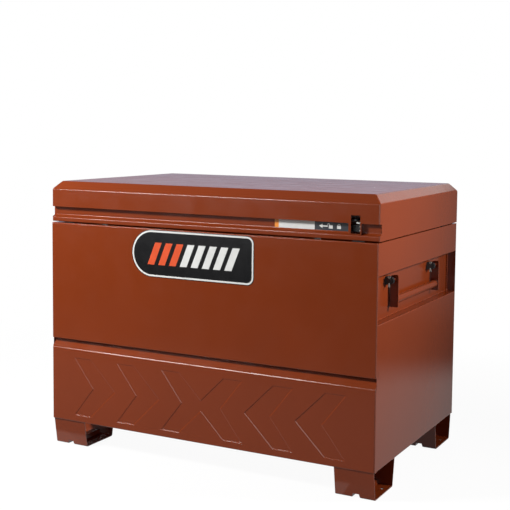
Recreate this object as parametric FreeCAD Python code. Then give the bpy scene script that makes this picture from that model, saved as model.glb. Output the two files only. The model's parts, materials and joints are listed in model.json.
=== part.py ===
import FreeCAD, Part
import math
import os

# Steel jobsite storage chest on four channel feet, with a hinged lid on two gas springs,
# a sliding latch bar and a drop handle recessed into each end.
# Millimetres. +X is to the right, +Y to the back, +Z up. The origin is on the floor, under
# the middle of the whole chest.

os.makedirs("parts", exist_ok=True)
V = FreeCAD.Vector

# ------------------------------------------------------------------ driving dimensions

# Body
length = 1219.0
depth = 762.0
foot_height = 90.0
body_height = 696.5
sheet = 1.5
edge_flange = 20.0

# Front groove and the pressed chevrons of the kick panel
kick_height = 255.0
groove_height = 34.0
groove_depth = 18.0
groove_tab = 20.0
press_depth = 1.0
press_margin = 1.5
chevron_pitch = 180.0
chevron_first = 75.0
chevron_per_side = 3
chevron_run = 80.0
chevron_top_width = 71.0
chevron_tip_width = 94.0
chevron_half_height = 102.0
chevron_rise = 125.0

# Rim channels
rim_front_width = 38.5
rim_end_width = 28.0
rim_rear_width = 25.0
rim_lip = 18.0
rear_rim_spring_gap = 14.0

# Lid
lid_gap = 4.0
lid_height = 140.0
lid_overhang = 2.0
lid_setback = 5.0
lid_chamfer = 24.8
lid_chamfer_drop = 26.5
lid_end_flange = 15.0
lip_height = 17.5
ledge_rise = 6.0
recess_depth = 13.0
recess_height = 34.0
recess_tab = 18.0
channel_flange = 15.0

# Lid stiffeners
stiffener_pitch = 300.0
stiffener_side_count = 1
stiffener_crown = 44.0
stiffener_height = 20.0
stiffener_flange = 14.0

# Lid rest pads
pad_length = 40.0
pad_width = 10.0
pad_shy = 0.1
pad_end_inset = 48.0
pad_rear_inset = 120.0

# Hinge
hinge_inset = 19.5
knuckle_count = 15
knuckle_radius = 5.0
knuckle_gap = 0.5
hinge_leaf = 2.0
leaf_height = 26.0
hinge_pin_radius = 2.5
hinge_pin_fit = 0.08
pin_head_radius = 4.5
pin_head_length = 2.0
swing_clearance = 0.4
rivet_count = 8
rivet_radius = 2.4
rivet_fit = 0.1
rivet_head_radius = 5.0
rivet_head_height = 2.2

# End recesses and drop handles
end_recess_rise = 450.0
end_recess_height = 145.5
end_recess_depth = 32.5
weld_leg = 4.0
handle_pivot_rise = 116.0
handle_pivot_stand = 14.5
pivot_pin_radius = 7.0
pivot_pin_fit = 0.08
arm_thickness = 5.0
arm_front = 181.0
arm_inner = 13.0
arm_outer = 16.0
arm_above = 13.8
arm_below = 88.0
arm_corner = 4.0
grip_drop = 66.0
grip_radius = 12.5
grip_wall = 2.0
grip_weld = 1.2
block_length = 14.0
block_half_height = 12.5
block_lead = 37.0
pin_tail = 4.0
pin_lead = 8.0
split_pin_radius = 1.6
split_pin_fit = 0.1
split_pin_inset = 4.0
split_eye_radius = 3.2
split_leg_radius = 1.1
split_leg_length = 12.0
split_spread = 3.0
ring_radius = 10.0
ring_thickness = 1.5
ring_gap = 0.3
block_screw_offset = 8.5
block_screw_radius = 2.4
block_screw_reach = 5.0
block_screw_head_radius = 4.5
block_screw_head_height = 3.0

# Feet
foot_length = 131.0
foot_inset = 3.5
foot_sheet = 3.0
foot_setback = 4.0
foot_front_lean = 14.0
foot_sole = 149.0
foot_rear_lean = 15.0
foot_flange = 20.0
foot_rib_width = 28.0
foot_rib_crown = 20.0
foot_rib_height = 13.0
foot_rib_inset = 48.0
caster_spacing_x = 92.0
caster_spacing_y = 67.0
caster_hole_radius = 5.0

# Latch bar, hooks and keepers
bar_thickness = 4.0
bar_height = 20.0
bar_rise = 8.0
bar_end_margin = 20.0
slide_gap = 0.3
guide_pitch = 200.0
guide_pairs = 2
guide_width = 20.0
guide_wall = 3.0
hook_place = 400.0
hook_half_width = 10.0
hook_toe = 14.0
hook_toe_height = 12.0
hook_lift = 1.0
hook_slot_end = 2.0
hook_slot_side = 2.0
hook_travel = 16.0
keeper_thickness = 4.0
keeper_margin = 12.0
keeper_front_gap = 8.0
latch_rivet_spread = 6.0
latch_rivet_head_radius = 4.0

# Lock housing, finger tab and fixed hasp
housing_inset = 59.5
housing_width = 42.0
housing_depth = 58.0
housing_height = 63.5
window_width = 30.0
window_height = 55.0
window_inset = 4.0
window_rise = 3.0
tab_width = 15.0
tab_thickness = 4.0
tab_rise = 5.5
tab_side_gap = 0.5
tab_front_gap = 3.0
hasp_gap = 3.5
hasp_front_gap = 6.0
padlock_hole_radius = 4.5
padlock_hole_reach = 9.3

# Gas springs: pivots measured from the hinge axis, closed lid
spring_inset = 49.5
body_pivot_ahead = 137.0
body_pivot_below = 75.5
lid_pivot_ahead = 55.0
lid_pivot_above = 49.5
tube_radius = 11.0
tube_wall = 2.0
tube_start = 13.0
rod_exposed = 34.5
tube_floor = 5.0
tube_guide = 8.0
rod_radius = 5.0
rod_fit = 0.08
piston_length = 8.0
piston_lift = 3.0
piston_gap = 0.3
socket_radius = 9.0
socket_half_width = 7.0
socket_neck_radius = 4.0
stud_radius = 4.5
stud_fit = 0.08
stud_gap = 0.5
stud_clip_radius = 7.0
stud_clip_thickness = 1.5
bracket_sheet = 3.0
bracket_stand = 12.0
bracket_half_width = 18.0
bracket_flange = 26.0

# Marker plate and lock label
plate_width = 463.0
plate_height = 157.0
plate_shift = -38.5
plate_drop = 82.0
plate_thickness = 0.8
plate_corner = 25.0
label_length = 250.0
label_gap = 4.0
label_thickness = 0.4
label_margin = 1.5

# ------------------------------------------------------------------ derived places

reach = 1.0
touch = 0.01
x_end = length / 2
y_front = -(depth + 2 * knuckle_radius - plate_thickness) / 2
y_back = y_front + depth
z_body = foot_height
z_rim = z_body + body_height
z_kick = z_body + kick_height
z_groove = z_kick + groove_height

x_lid = x_end + lid_overhang
y_lid = y_front + lid_setback
y_lid_back = y_back
z_lid = z_rim + lid_gap
z_top = z_lid + lid_height
z_chamfer = z_top - lid_chamfer_drop
z_lip = z_lid + lip_height
z_face = z_lip + recess_height
y_recess = y_lid + recess_depth
y_channel = y_recess + sheet

hinge_length = length - 2 * hinge_inset
y_hinge = y_back + knuckle_radius
z_hinge = z_rim + lid_gap / 2

z_recess = z_body + end_recess_rise
z_roof = z_recess + end_recess_height
z_pivot = z_recess + handle_pivot_rise
x_recess = x_end - end_recess_depth
x_pivot = x_recess + handle_pivot_stand
y_arm_near = y_front + arm_front
y_arm_far = y_back - arm_front - arm_thickness

x_housing_right = x_lid - housing_inset
x_housing_left = x_housing_right - housing_width
x_window_right = x_housing_right - window_inset
x_window_left = x_window_right - window_width
z_window = z_lip + window_rise
x_tab_right = x_housing_right - sheet - tab_side_gap
x_tab_left = x_tab_right - tab_width
x_bar_left = -hook_place - hook_half_width - bar_end_margin
z_bar = z_lip + bar_rise
z_tab = z_bar + bar_height + tab_rise
y_bar = y_channel + slide_gap
y_hook = y_bar + bar_thickness
y_hook_back = y_hook + bar_thickness

x_spring = x_end - spring_inset
x_rear_rim = x_spring - tube_radius - rear_rim_spring_gap
x_plate_left = plate_shift - plate_width / 2
x_plate_right = plate_shift + plate_width / 2
z_plate = z_rim - plate_drop


# ------------------------------------------------------------------ shape helpers

def box(x0, x1, y0, y1, z0, z1):
    """Block between two corners."""
    return Part.makeBox(x1 - x0, y1 - y0, z1 - z0, V(x0, y0, z0))


def prism(points, travel):
    """Closed outline swept along a straight line."""
    return Part.Face(Part.makePolygon(points + points[:1])).extrude(travel)


def prism_x(outline, x0, x1):
    """Outline of (y, z) points swept from x0 to x1."""
    return prism([V(x0, y, z) for y, z in outline], V(x1 - x0, 0, 0))


def prism_y(outline, y0, y1):
    """Outline of (x, z) points swept from y0 to y1."""
    return prism([V(x, y0, z) for x, z in outline], V(0, y1 - y0, 0))


def prism_z(outline, z0, z1):
    """Outline of (x, y) points swept from z0 to z1."""
    return prism([V(x, y, z0) for x, y in outline], V(0, 0, z1 - z0))


def rod(radius, start, end):
    """Round bar from one point to another."""
    travel = end - start
    return Part.makeCylinder(radius, travel.Length, start, travel)


def offset_line(points, thickness):
    """The line moved to its left by a thickness, with mitred corners."""
    normals = []
    for (a0, b0), (a1, b1) in zip(points, points[1:]):
        run = math.hypot(a1 - a0, b1 - b0)
        normals.append((-(b1 - b0) / run, (a1 - a0) / run))
    moved = []
    for index, (a, b) in enumerate(points):
        before = normals[max(index - 1, 0)]
        after = normals[min(index, len(normals) - 1)]
        share = thickness / (1 + before[0] * after[0] + before[1] * after[1])
        moved.append((a + share * (before[0] + after[0]), b + share * (before[1] + after[1])))
    return moved


def bent(points, thickness):
    """Outline of a bent sheet: a line and the same line moved to its left."""
    return points + offset_line(points, thickness)[::-1]


def mirrored(shape):
    """The same piece on the other side of the chest."""
    return shape.mirror(V(0, 0, 0), V(1, 0, 0))


def both_sides(shape):
    return [shape, mirrored(shape)]


def joined(shapes):
    """Touching pieces made into one solid."""
    return shapes[0].fuse(shapes[1:]).removeSplitter()


def save(name, shapes):
    """One file for a piece, or for a group of like pieces."""
    group = shapes if isinstance(shapes, list) else [shapes]
    solids = [solid for shape in group for solid in shape.Solids]
    whole = solids[0] if len(solids) == 1 else Part.makeCompound(solids)
    whole.exportStep("parts/" + name + ".step")


# ------------------------------------------------------------------ body sheets

def end_wall_zone():
    """Where the end sheets stand behind the front and back sheets."""
    wall = box(x_end - sheet, x_end + reach, y_front + sheet, y_back - sheet, 0, z_top)
    flange = box(x_end - edge_flange, x_end + reach, y_front + sheet, y_back - sheet, 0, z_body + sheet)
    return both_sides(joined([wall, flange]))


def front_upper_panel():
    """Upper front sheet, folded inwards over the groove."""
    line = [(y_front, z_rim), (y_front, z_groove), (y_front + groove_depth, z_groove)]
    return prism_x(bent(line, sheet), -x_end, x_end).cut(end_wall_zone())


def chevron(inner, grow):
    """Outline of one chevron that points to +X, with its inner corner at a given X."""
    middle = z_body + chevron_rise
    high = chevron_half_height + grow
    slope = chevron_run / chevron_half_height
    outer_slope = (chevron_run + chevron_tip_width - chevron_top_width) / chevron_half_height
    low_x = inner - grow * math.hypot(1, slope)
    tip_x = inner + chevron_tip_width + grow * math.hypot(1, outer_slope)
    return [
        (low_x, middle),
        (low_x - slope * high, middle + high),
        (tip_x - outer_slope * high, middle + high),
        (tip_x, middle),
        (tip_x - outer_slope * high, middle - high),
        (low_x - slope * high, middle - high),
    ]


def chevrons(grow, y0, y1):
    """Both rows of chevrons, pointing at the middle of the panel."""
    shapes = []
    for index in range(chevron_per_side):
        inner = -(chevron_first + index * chevron_pitch)
        shapes += both_sides(prism_y(chevron(inner, grow), y0, y1))
    return shapes


def front_kick_panel():
    """Lower front sheet with its sloping groove wall and pressed-in chevrons."""
    line = [
        (y_front + groove_depth, z_groove + groove_tab),
        (y_front + groove_depth, z_groove),
        (y_front, z_kick),
        (y_front, z_body),
        (y_front + edge_flange, z_body),
    ]
    panel = prism_x(bent(line, sheet), -x_end, x_end).cut(end_wall_zone())
    for boss in chevrons(press_margin, y_front + sheet / 2, y_front + sheet + press_depth):
        panel = panel.fuse(boss)
    for pocket in chevrons(0, y_front - reach, y_front + press_depth):
        panel = panel.cut(pocket)
    return panel.removeSplitter()


def end_panel():
    """Right end sheet with the full-depth handle recess."""
    line = [
        (x_end - edge_flange, z_body),
        (x_end, z_body),
        (x_end, z_recess),
        (x_recess, z_recess),
        (x_recess, z_roof),
        (x_end, z_roof),
        (x_end, z_rim),
    ]
    panel = prism_y(bent(line, sheet), y_front + sheet, y_back - sheet)
    return panel.cut(block_screw_holes())


def back_panel():
    line = [(y_back - edge_flange, z_body), (y_back, z_body), (y_back, z_rim)]
    panel = prism_x(bent(line, sheet), -x_end, x_end).cut(end_wall_zone())
    return panel.cut(rivet_holes(z_hinge - rivet_drop()))


def bottom_panel():
    z_floor = z_body + sheet
    return box(-x_end + sheet, x_end - sheet, y_front + sheet, y_back - sheet, z_floor, z_floor + sheet)


def recess_weld_beads():
    """Fillet welds in the four upright corners of the handle recesses."""
    beads = []
    for y_corner, turn in ((y_front + sheet, 1), (y_back - sheet, -1)):
        corner = [(x_recess, y_corner), (x_recess + weld_leg, y_corner), (x_recess, y_corner + turn * weld_leg)]
        beads += both_sides(prism_z(corner, z_recess, z_roof))
    return beads


# ------------------------------------------------------------------ rim and latch keepers

def hook_slots(grow, z0, z1):
    """Openings that let both latch hooks pass down through the front rim."""
    slots = []
    for place in (-hook_place, hook_place):
        left = place - hook_half_width - max(hook_toe, hook_travel) - hook_slot_end
        right = place + hook_half_width + hook_slot_end
        y0 = y_hook - hook_slot_side - grow
        y1 = y_hook_back + hook_slot_side + grow
        slots.append(box(left - grow, right + grow, y0, y1, z0, z1))
    return slots


def front_rim():
    y_inner = y_front + sheet + rim_front_width
    x_side = x_end - sheet
    line = [(y_inner, z_rim - rim_lip - sheet), (y_inner, z_rim), (y_front + sheet, z_rim)]
    return prism_x(bent(line, sheet), -x_side, x_side).cut(hook_slots(0, z_rim - sheet - reach, z_rim + reach))


def rear_rim():
    y_inner = y_back - sheet - rim_rear_width
    line = [(y_back - sheet, z_rim), (y_inner, z_rim), (y_inner, z_rim - rim_lip - sheet)]
    return prism_x(bent(line, sheet), -x_rear_rim, x_rear_rim)


def end_rim():
    x_inner = x_end - sheet - rim_end_width
    line = [(x_end - sheet, z_rim), (x_inner, z_rim), (x_inner, z_rim - rim_lip - sheet)]
    return prism_y(bent(line, sheet), y_front + sheet + rim_front_width, y_back - sheet)


def latch_keepers():
    """Thick plates under the front rim that the hooks catch."""
    z_under = z_rim - sheet
    y0 = y_front + keeper_front_gap
    y1 = y_front + rim_front_width
    plates = []
    for slot in hook_slots(0, z_under - keeper_thickness - reach, z_under + reach):
        limits = slot.BoundBox
        left = limits.XMin - hook_travel - keeper_margin
        right = limits.XMax + keeper_margin
        plates.append(box(left, right, y0, y1, z_under - keeper_thickness, z_under).cut(slot))
    return plates


def lid_rest_pads():
    """Rubber pads on the rim, two at the front and two towards the back."""
    z1 = z_lid - pad_shy
    x_front = x_end - pad_end_inset
    y_pad = y_lid + sheet
    front_pad = box(x_front - pad_length, x_front, y_pad, y_pad + pad_width, z_rim, z1)
    x_side = x_end - 2 * sheet
    y_rear = y_back - pad_rear_inset
    rear_pad = box(x_side - pad_width, x_side, y_rear - pad_length, y_rear, z_rim, z1)
    return both_sides(front_pad) + both_sides(rear_pad)


# ------------------------------------------------------------------ feet

def foot():
    """Front right foot: a channel open to both ends, with a rib along its sole."""
    x1 = x_end - foot_inset
    x0 = x1 - foot_length
    y_top_front = y_front + foot_setback
    y_sole_front = y_top_front + foot_front_lean
    y_sole_rear = y_sole_front + foot_sole
    y_top_rear = y_sole_rear + foot_rear_lean
    line = [
        (y_top_front + foot_flange, foot_height),
        (y_top_front, foot_height),
        (y_sole_front, 0),
        (y_sole_rear, 0),
        (y_top_rear, foot_height),
        (y_top_rear - foot_flange, foot_height),
    ]
    channel = prism_x(bent(line, foot_sheet), x0, x1)
    envelope = prism_x(line[1:5], x0, x1)
    rib_x = x1 - foot_rib_inset - foot_rib_width / 2
    half = foot_rib_width / 2
    crown = foot_rib_crown / 2
    ridge = [
        (rib_x + half, 0), (rib_x + crown, foot_rib_height),
        (rib_x - crown, foot_rib_height), (rib_x - half, 0),
    ]
    cover = prism_y(bent(ridge, -foot_sheet), y_top_front, y_top_rear).common(envelope)
    groove = prism_y(ridge, y_top_front, y_top_rear)
    shape = channel.fuse(cover).cut(groove).removeSplitter()
    x_middle = (x0 + x1) / 2
    y_middle = (y_sole_front + y_sole_rear) / 2
    for x_step in (-caster_spacing_x / 2, caster_spacing_x / 2):
        for y_step in (-caster_spacing_y / 2, caster_spacing_y / 2):
            start = V(x_middle + x_step, y_middle + y_step, -reach)
            shape = shape.cut(rod(caster_hole_radius, start, start + V(0, 0, foot_sheet + 2 * reach)))
    return shape


def rear_foot():
    """The front foot seen from the back of the chest."""
    return foot().mirror(V(0, (y_front + y_back) / 2, 0), V(0, 1, 0))


# ------------------------------------------------------------------ handles

def block_places():
    """Front face of each handle pivot block, as a Y."""
    return [y_arm_near - block_lead, y_arm_far - block_lead]


def pivot_blocks():
    blocks = []
    for y0 in block_places():
        y1 = y0 + block_length
        base = box(x_recess, x_pivot, y0, y1, z_pivot - block_half_height,
                   z_pivot + block_half_height)
        nose = rod(block_half_height, V(x_pivot, y0, z_pivot), V(x_pivot, y1, z_pivot))
        bore = rod(pivot_pin_radius + pivot_pin_fit, V(x_pivot, y0 - reach, z_pivot),
                   V(x_pivot, y1 + reach, z_pivot))
        blocks.append(joined([base, nose]).cut(bore).cut(block_screw_holes()))
    return blocks


def split_pin_places():
    """Middle of each split pin, as a Y: through the front end of a stub pin."""
    return [y0 - pin_lead + split_pin_inset for y0 in block_places()]


def pivot_pins():
    """Stub pins through the blocks, which carry the handle arms."""
    pins = []
    up = V(0, 0, pivot_pin_radius + reach)
    for y0, y_arm, y_split in zip(block_places(), (y_arm_near, y_arm_far), split_pin_places()):
        start = V(x_pivot, y0 - pin_lead, z_pivot)
        end = V(x_pivot, y_arm + arm_thickness + pin_tail, z_pivot)
        middle = V(x_pivot, y_split, z_pivot)
        hole = rod(split_pin_radius + split_pin_fit, middle - up, middle + up)
        pins.append(rod(pivot_pin_radius, start, end).cut(hole))
    return pins


def split_pins():
    """Split pins that keep the stub pins in their blocks, with bent legs below."""
    pins = []
    seat = V(0, 0, pivot_pin_radius + split_pin_fit)
    for y in split_pin_places():
        middle = V(x_pivot, y, z_pivot)
        mouth = middle - seat
        neck = middle + seat + V(0, 0, split_pin_radius)
        eye = Part.makeTorus(split_eye_radius, split_pin_radius, neck + V(0, 0, split_eye_radius), V(0, 1, 0))
        parts = [rod(split_pin_radius, mouth - V(0, 0, split_leg_radius), neck), eye]
        for side in (-1, 1):
            leg_start = mouth + V(side * (split_pin_radius - split_leg_radius), 0, 0)
            leg_end = mouth + V(side * split_spread, 0, -split_leg_length)
            parts.append(rod(split_leg_radius, leg_start, leg_end))
        pins.append(joined(parts))
    return pins


def pivot_rings():
    rings = []
    for y_arm in (y_arm_near, y_arm_far):
        start = V(x_pivot, y_arm + arm_thickness + ring_gap, z_pivot)
        end = start + V(0, ring_thickness, 0)
        rings.append(rod(ring_radius, start, end).cut(rod(pivot_pin_radius, start, end)))
    return rings


def block_screw_places():
    places = []
    for y0 in block_places():
        for step in (-block_screw_offset, block_screw_offset):
            places.append((y0 + block_length / 2, z_pivot + step))
    return places


def block_screw_holes():
    holes = []
    for y, z in block_screw_places():
        start = V(x_recess - sheet - reach, y, z)
        end = V(x_recess + block_screw_reach + slide_gap, y, z)
        holes.append(rod(block_screw_radius + rivet_fit, start, end))
    return holes


def block_screws():
    screws = []
    for y, z in block_screw_places():
        seat = V(x_recess - sheet, y, z)
        shank = rod(block_screw_radius, seat, V(x_recess + block_screw_reach, y, z))
        head = rod(block_screw_head_radius, seat - V(block_screw_head_height, 0, 0), seat)
        screws.append(joined([shank, head]))
    return screws


def handle_arms():
    """Two flat arms that hang from the pins."""
    z0 = z_pivot - arm_below
    z1 = z_pivot + arm_above
    arms = []
    for y0 in (y_arm_near, y_arm_far):
        y1 = y0 + arm_thickness
        low = box(x_pivot - arm_inner, x_pivot + arm_outer, y0, y1, z0, z_pivot)
        high = box(x_pivot, x_pivot + arm_outer, y0, y1, z_pivot, z1)
        shoulder = rod(arm_inner, V(x_pivot, y0, z_pivot), V(x_pivot, y1, z_pivot))
        arm = joined([low, high, shoulder])
        corners = [edge for edge in arm.Edges
                   if edge.BoundBox.YLength > arm_thickness / 2
                   and edge.BoundBox.XLength < touch
                   and edge.BoundBox.ZLength < touch
                   and (edge.BoundBox.ZMax < z0 + touch
                        or edge.BoundBox.XMin > x_pivot + arm_outer - touch)]
        arm = arm.makeFillet(arm_corner, corners)
        bore = rod(pivot_pin_radius + pivot_pin_fit, V(x_pivot, y0 - reach, z_pivot),
                   V(x_pivot, y1 + reach, z_pivot))
        arms.append(arm.cut(bore))
    return arms


def handle_grip():
    """Round grip tube, with a weld ring at each arm."""
    z = z_pivot - grip_drop
    start = V(x_pivot, y_arm_near + arm_thickness, z)
    end = V(x_pivot, y_arm_far, z)
    along = V(0, grip_weld, 0)
    tube = rod(grip_radius, start, end)
    near_weld = Part.makeCone(grip_radius + grip_weld, grip_radius, grip_weld, start, V(0, 1, 0))
    far_weld = Part.makeCone(grip_radius, grip_radius + grip_weld, grip_weld, end - along, V(0, 1, 0))
    return joined([tube, near_weld, far_weld]).cut(rod(grip_radius - grip_wall, start, end))


# ------------------------------------------------------------------ lid

def lid_block(inset):
    """The lid's outline as a solid, chamfered on four sides and moved in by a thickness."""
    across = [
        (y_lid, z_lid), (y_lid, z_chamfer), (y_lid + lid_chamfer, z_top),
        (y_lid_back - lid_chamfer, z_top), (y_lid_back, z_chamfer), (y_lid_back, z_lid),
    ]
    along = [
        (-x_lid, z_lid), (-x_lid, z_chamfer), (-x_lid + lid_chamfer, z_top),
        (x_lid - lid_chamfer, z_top), (x_lid, z_chamfer), (x_lid, z_lid),
    ]
    front_to_back = prism_x(offset_line(across, -inset), -x_lid, x_lid)
    end_to_end = prism_y(offset_line(along, -inset), y_lid, y_lid_back)
    return front_to_back.common(end_to_end)


def lid_shell():
    return lid_block(0).cut(lid_block(sheet))


def lid_end_zone():
    """Plan area of the right lid end, bounded by the corner mitres."""
    plan = [
        (x_lid + reach, y_lid - reach),
        (x_lid - lid_chamfer, y_lid + lid_chamfer),
        (x_lid - lid_chamfer, y_lid_back - lid_chamfer),
        (x_lid + reach, y_lid_back + reach),
    ]
    return prism_z(plan, z_lid - reach, z_top + reach)


def window_cut():
    """Lock opening, through the front of the lid and of the housing."""
    return box(x_window_left, x_window_right, y_lid - reach, y_lid + 2 * sheet,
               z_window, z_window + window_height)


def lid_skin():
    """Front face, top and rear face of the lid."""
    skin = lid_shell().cut(both_sides(lid_end_zone()))
    skin = skin.cut(box(-x_lid, x_lid, y_lid - reach, y_lid + sheet + reach, z_lid - reach, z_face))
    fold = box(-x_lid + sheet, x_lid - sheet, y_lid, y_recess, z_face, z_face + sheet)
    skin = joined([skin, fold]).cut(window_cut())
    behind = box(x_housing_left, x_housing_right, y_lid + sheet, y_recess + reach,
                 z_face - reach, z_face + 2 * sheet)
    return skin.cut(behind).cut(rivet_holes(z_hinge + rivet_drop()))


def lid_end():
    """Right end of the lid, notched for the finger recess."""
    end = lid_shell().common(lid_end_zone())
    end = end.cut(box(0, x_lid + reach, y_lid - reach, y_recess, z_lip, z_face))
    flange = box(x_lid - lid_end_flange, x_lid - sheet, y_lid + channel_flange + slide_gap, y_lid_back - sheet,
                 z_lid, z_lid + sheet)
    return joined([end, flange])


def lid_front_channel():
    """Finger recess and lower lip across the front of the lid."""
    line = [
        (y_recess, z_face + recess_tab), (y_recess, z_lip + ledge_rise), (y_lid, z_lip),
        (y_lid, z_lid), (y_lid + channel_flange, z_lid),
    ]
    channel = prism_x(bent(line, sheet), -x_lid, x_lid).cut(both_sides(lid_end()))
    return channel.cut(box(x_housing_left, x_housing_right, y_lid - reach, y_channel + reach, z_lip, z_top))


def lid_stiffeners():
    """Hat sections under the top of the lid."""
    z1 = z_top - sheet
    z0 = z1 - stiffener_height
    half = stiffener_crown / 2
    outline = [
        (-half - stiffener_flange, z1), (-half, z1), (-half, z0),
        (half, z0), (half, z1), (half + stiffener_flange, z1),
    ]
    y0 = y_lid + lid_chamfer + sheet
    y1 = y_lid_back - lid_chamfer - sheet
    hats = []
    for index in range(-stiffener_side_count, stiffener_side_count + 1):
        line = [(x + index * stiffener_pitch, z) for x, z in outline]
        lowered = offset_line(line, -sheet)
        hats.append(prism_y(line + lowered[::-1], y0, y1))
    return hats


# ------------------------------------------------------------------ lock

def lock_housing():
    """Box behind the lock opening, open to the front through the window."""
    z0 = z_lip
    z1 = z_lip + housing_height
    y1 = y_lid + housing_depth
    outside = box(x_housing_left, x_housing_right, y_lid, y1, z0, z1)
    inside = box(x_housing_left + sheet, x_housing_right - sheet, y_lid + sheet, y1 - sheet,
                 z0 + sheet, z1 - sheet)
    behind_face = box(x_housing_left - reach, x_housing_right + reach, y_lid - reach, y_lid + sheet,
                      z_face, z1 + reach)
    bar_slot = box(x_housing_left - reach, x_housing_left + sheet + reach, y_bar - slide_gap,
                   y_bar + bar_thickness + slide_gap, z_bar - slide_gap, z_bar + bar_height + slide_gap)
    return outside.cut(inside).cut(behind_face).cut(bar_slot).cut(window_cut())


def padlock_hole(z0, z1, shift):
    x = (x_tab_left + x_tab_right) / 2 - shift
    y = y_lid + padlock_hole_reach
    return rod(padlock_hole_radius, V(x, y, z0 - reach), V(x, y, z1 + reach))


def padlock_hasp():
    """Fixed eye that the finger tab lines up with when the bar is slid home."""
    z0 = z_tab + tab_thickness + hasp_gap
    z1 = z0 + tab_thickness
    y1 = y_lid + housing_depth - sheet
    plate = box(x_tab_left - hook_travel, x_tab_right - hook_travel, y_lid + hasp_front_gap, y1, z0, z1)
    return plate.cut(padlock_hole(z0, z1, hook_travel))


def latch_tab():
    """Finger tab riveted to the end of the latch bar."""
    z1 = z_tab + tab_thickness
    shelf = box(x_tab_left, x_tab_right, y_lid + tab_front_gap, y_hook_back, z_tab, z1)
    leg = box(x_tab_left, x_tab_right, y_hook, y_hook_back, z_bar, z_tab)
    return joined([shelf, leg]).cut(padlock_hole(z_tab, z1, 0)).cut(bar_rivet_holes())


def latch_bar():
    bar = box(x_bar_left, x_tab_right, y_bar, y_bar + bar_thickness, z_bar, z_bar + bar_height)
    return bar.cut(bar_rivet_holes())


def latch_hooks():
    """Two hooks that hang from the bar through the front rim, toes to the left."""
    z_toe_top = z_rim - sheet - keeper_thickness - hook_lift
    z_toe = z_toe_top - hook_toe_height
    hooks = []
    for place in (-hook_place, hook_place):
        left = place - hook_half_width
        right = place + hook_half_width
        outline = [
            (left, z_bar + bar_height), (left, z_toe_top), (left - hook_toe, z_toe_top),
            (left - hook_toe, z_toe + bar_thickness), (left - hook_toe + bar_thickness, z_toe),
            (right, z_toe), (right, z_bar + bar_height),
        ]
        hooks.append(prism_y(outline, y_hook, y_hook_back).cut(bar_rivet_holes()))
    return hooks


def bar_rivet_places():
    """Rivets through the bar: two for each hook and two for the finger tab."""
    level = z_bar + bar_height / 2
    places = []
    for place in (-hook_place, hook_place, (x_tab_left + x_tab_right) / 2):
        places += [(place, level - latch_rivet_spread), (place, level + latch_rivet_spread)]
    return places


def bar_rivet_holes():
    y0 = y_bar - reach
    y1 = y_hook_back + reach
    return [rod(rivet_radius, V(x, y0, z), V(x, y1, z)) for x, z in bar_rivet_places()]


def latch_rivets():
    """Flush at the front of the bar, with a domed head at the back."""
    rivets = []
    for x, z in bar_rivet_places():
        shank = rod(rivet_radius, V(x, y_bar, z), V(x, y_hook_back, z))
        head = rivet_head(V(x, y_hook_back, z), V(0, 1, 0), latch_rivet_head_radius)
        rivets.append(joined([shank, head]))
    return rivets


def latch_guides():
    """Clips welded behind the finger recess that carry the bar."""
    guides = []
    z0 = z_bar - slide_gap
    z1 = z_bar + bar_height + slide_gap
    y1 = y_bar + bar_thickness + slide_gap
    for index in range(guide_pairs):
        middle = guide_pitch * (index + 0.5)
        x0 = middle - guide_width / 2
        x1 = middle + guide_width / 2
        outside = box(x0, x1, y_channel, y1 + guide_wall, z0 - guide_wall, z1 + guide_wall)
        guides += both_sides(outside.cut(box(x0 - reach, x1 + reach, y_channel - reach, y1, z0, z1)))
    return guides


# ------------------------------------------------------------------ hinge

def knuckle_spans(lid_side):
    """Start and end of each knuckle on one leaf, as X values."""
    step = hinge_length / knuckle_count
    spans = []
    for index in range(knuckle_count):
        if (index % 2 == 1) == lid_side:
            start = -hinge_length / 2 + index * step
            spans.append((start + knuckle_gap / 2, start + step - knuckle_gap / 2))
    return spans


def hinge_half(lid_side):
    """One leaf with its knuckles, cut back around the other leaf's knuckles."""
    side = 1 if lid_side else -1
    z_edge = z_hinge + side * leaf_height
    half = hinge_length / 2
    leaf = box(-half, half, y_back, y_back + hinge_leaf, min(z_hinge, z_edge), max(z_hinge, z_edge))
    clear = knuckle_radius + swing_clearance
    for start, end in knuckle_spans(not lid_side):
        leaf = leaf.cut(box(start - knuckle_gap, end + knuckle_gap, y_back - reach,
                            y_back + hinge_leaf + reach, z_hinge - clear, z_hinge + clear))
    knuckles = [rod(knuckle_radius, V(start, y_hinge, z_hinge), V(end, y_hinge, z_hinge))
                for start, end in knuckle_spans(lid_side)]
    shape = joined([leaf] + knuckles)
    bore = rod(hinge_pin_radius + hinge_pin_fit, V(-half - reach, y_hinge, z_hinge),
               V(half + reach, y_hinge, z_hinge))
    return shape.cut(bore).cut(rivet_holes(z_hinge + side * rivet_drop()))


def hinge_pin():
    half = hinge_length / 2 + knuckle_gap
    shank = rod(hinge_pin_radius, V(-half, y_hinge, z_hinge), V(half, y_hinge, z_hinge))
    head = rod(pin_head_radius, V(half, y_hinge, z_hinge), V(half + pin_head_length, y_hinge, z_hinge))
    return joined([shank] + both_sides(head))


def rivet_drop():
    """Height between the hinge axis and each row of rivets."""
    return knuckle_radius + (leaf_height - knuckle_radius) / 2


def rivet_places():
    pitch = hinge_length / rivet_count
    return [-hinge_length / 2 + (index + 0.5) * pitch for index in range(rivet_count)]


def rivet_holes(level):
    """Holes through the back sheet and a hinge leaf at one height."""
    y0 = y_back - sheet - reach
    y1 = y_back + hinge_leaf + reach
    return [rod(rivet_radius + rivet_fit, V(x, y0, level), V(x, y1, level)) for x in rivet_places()]


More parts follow.
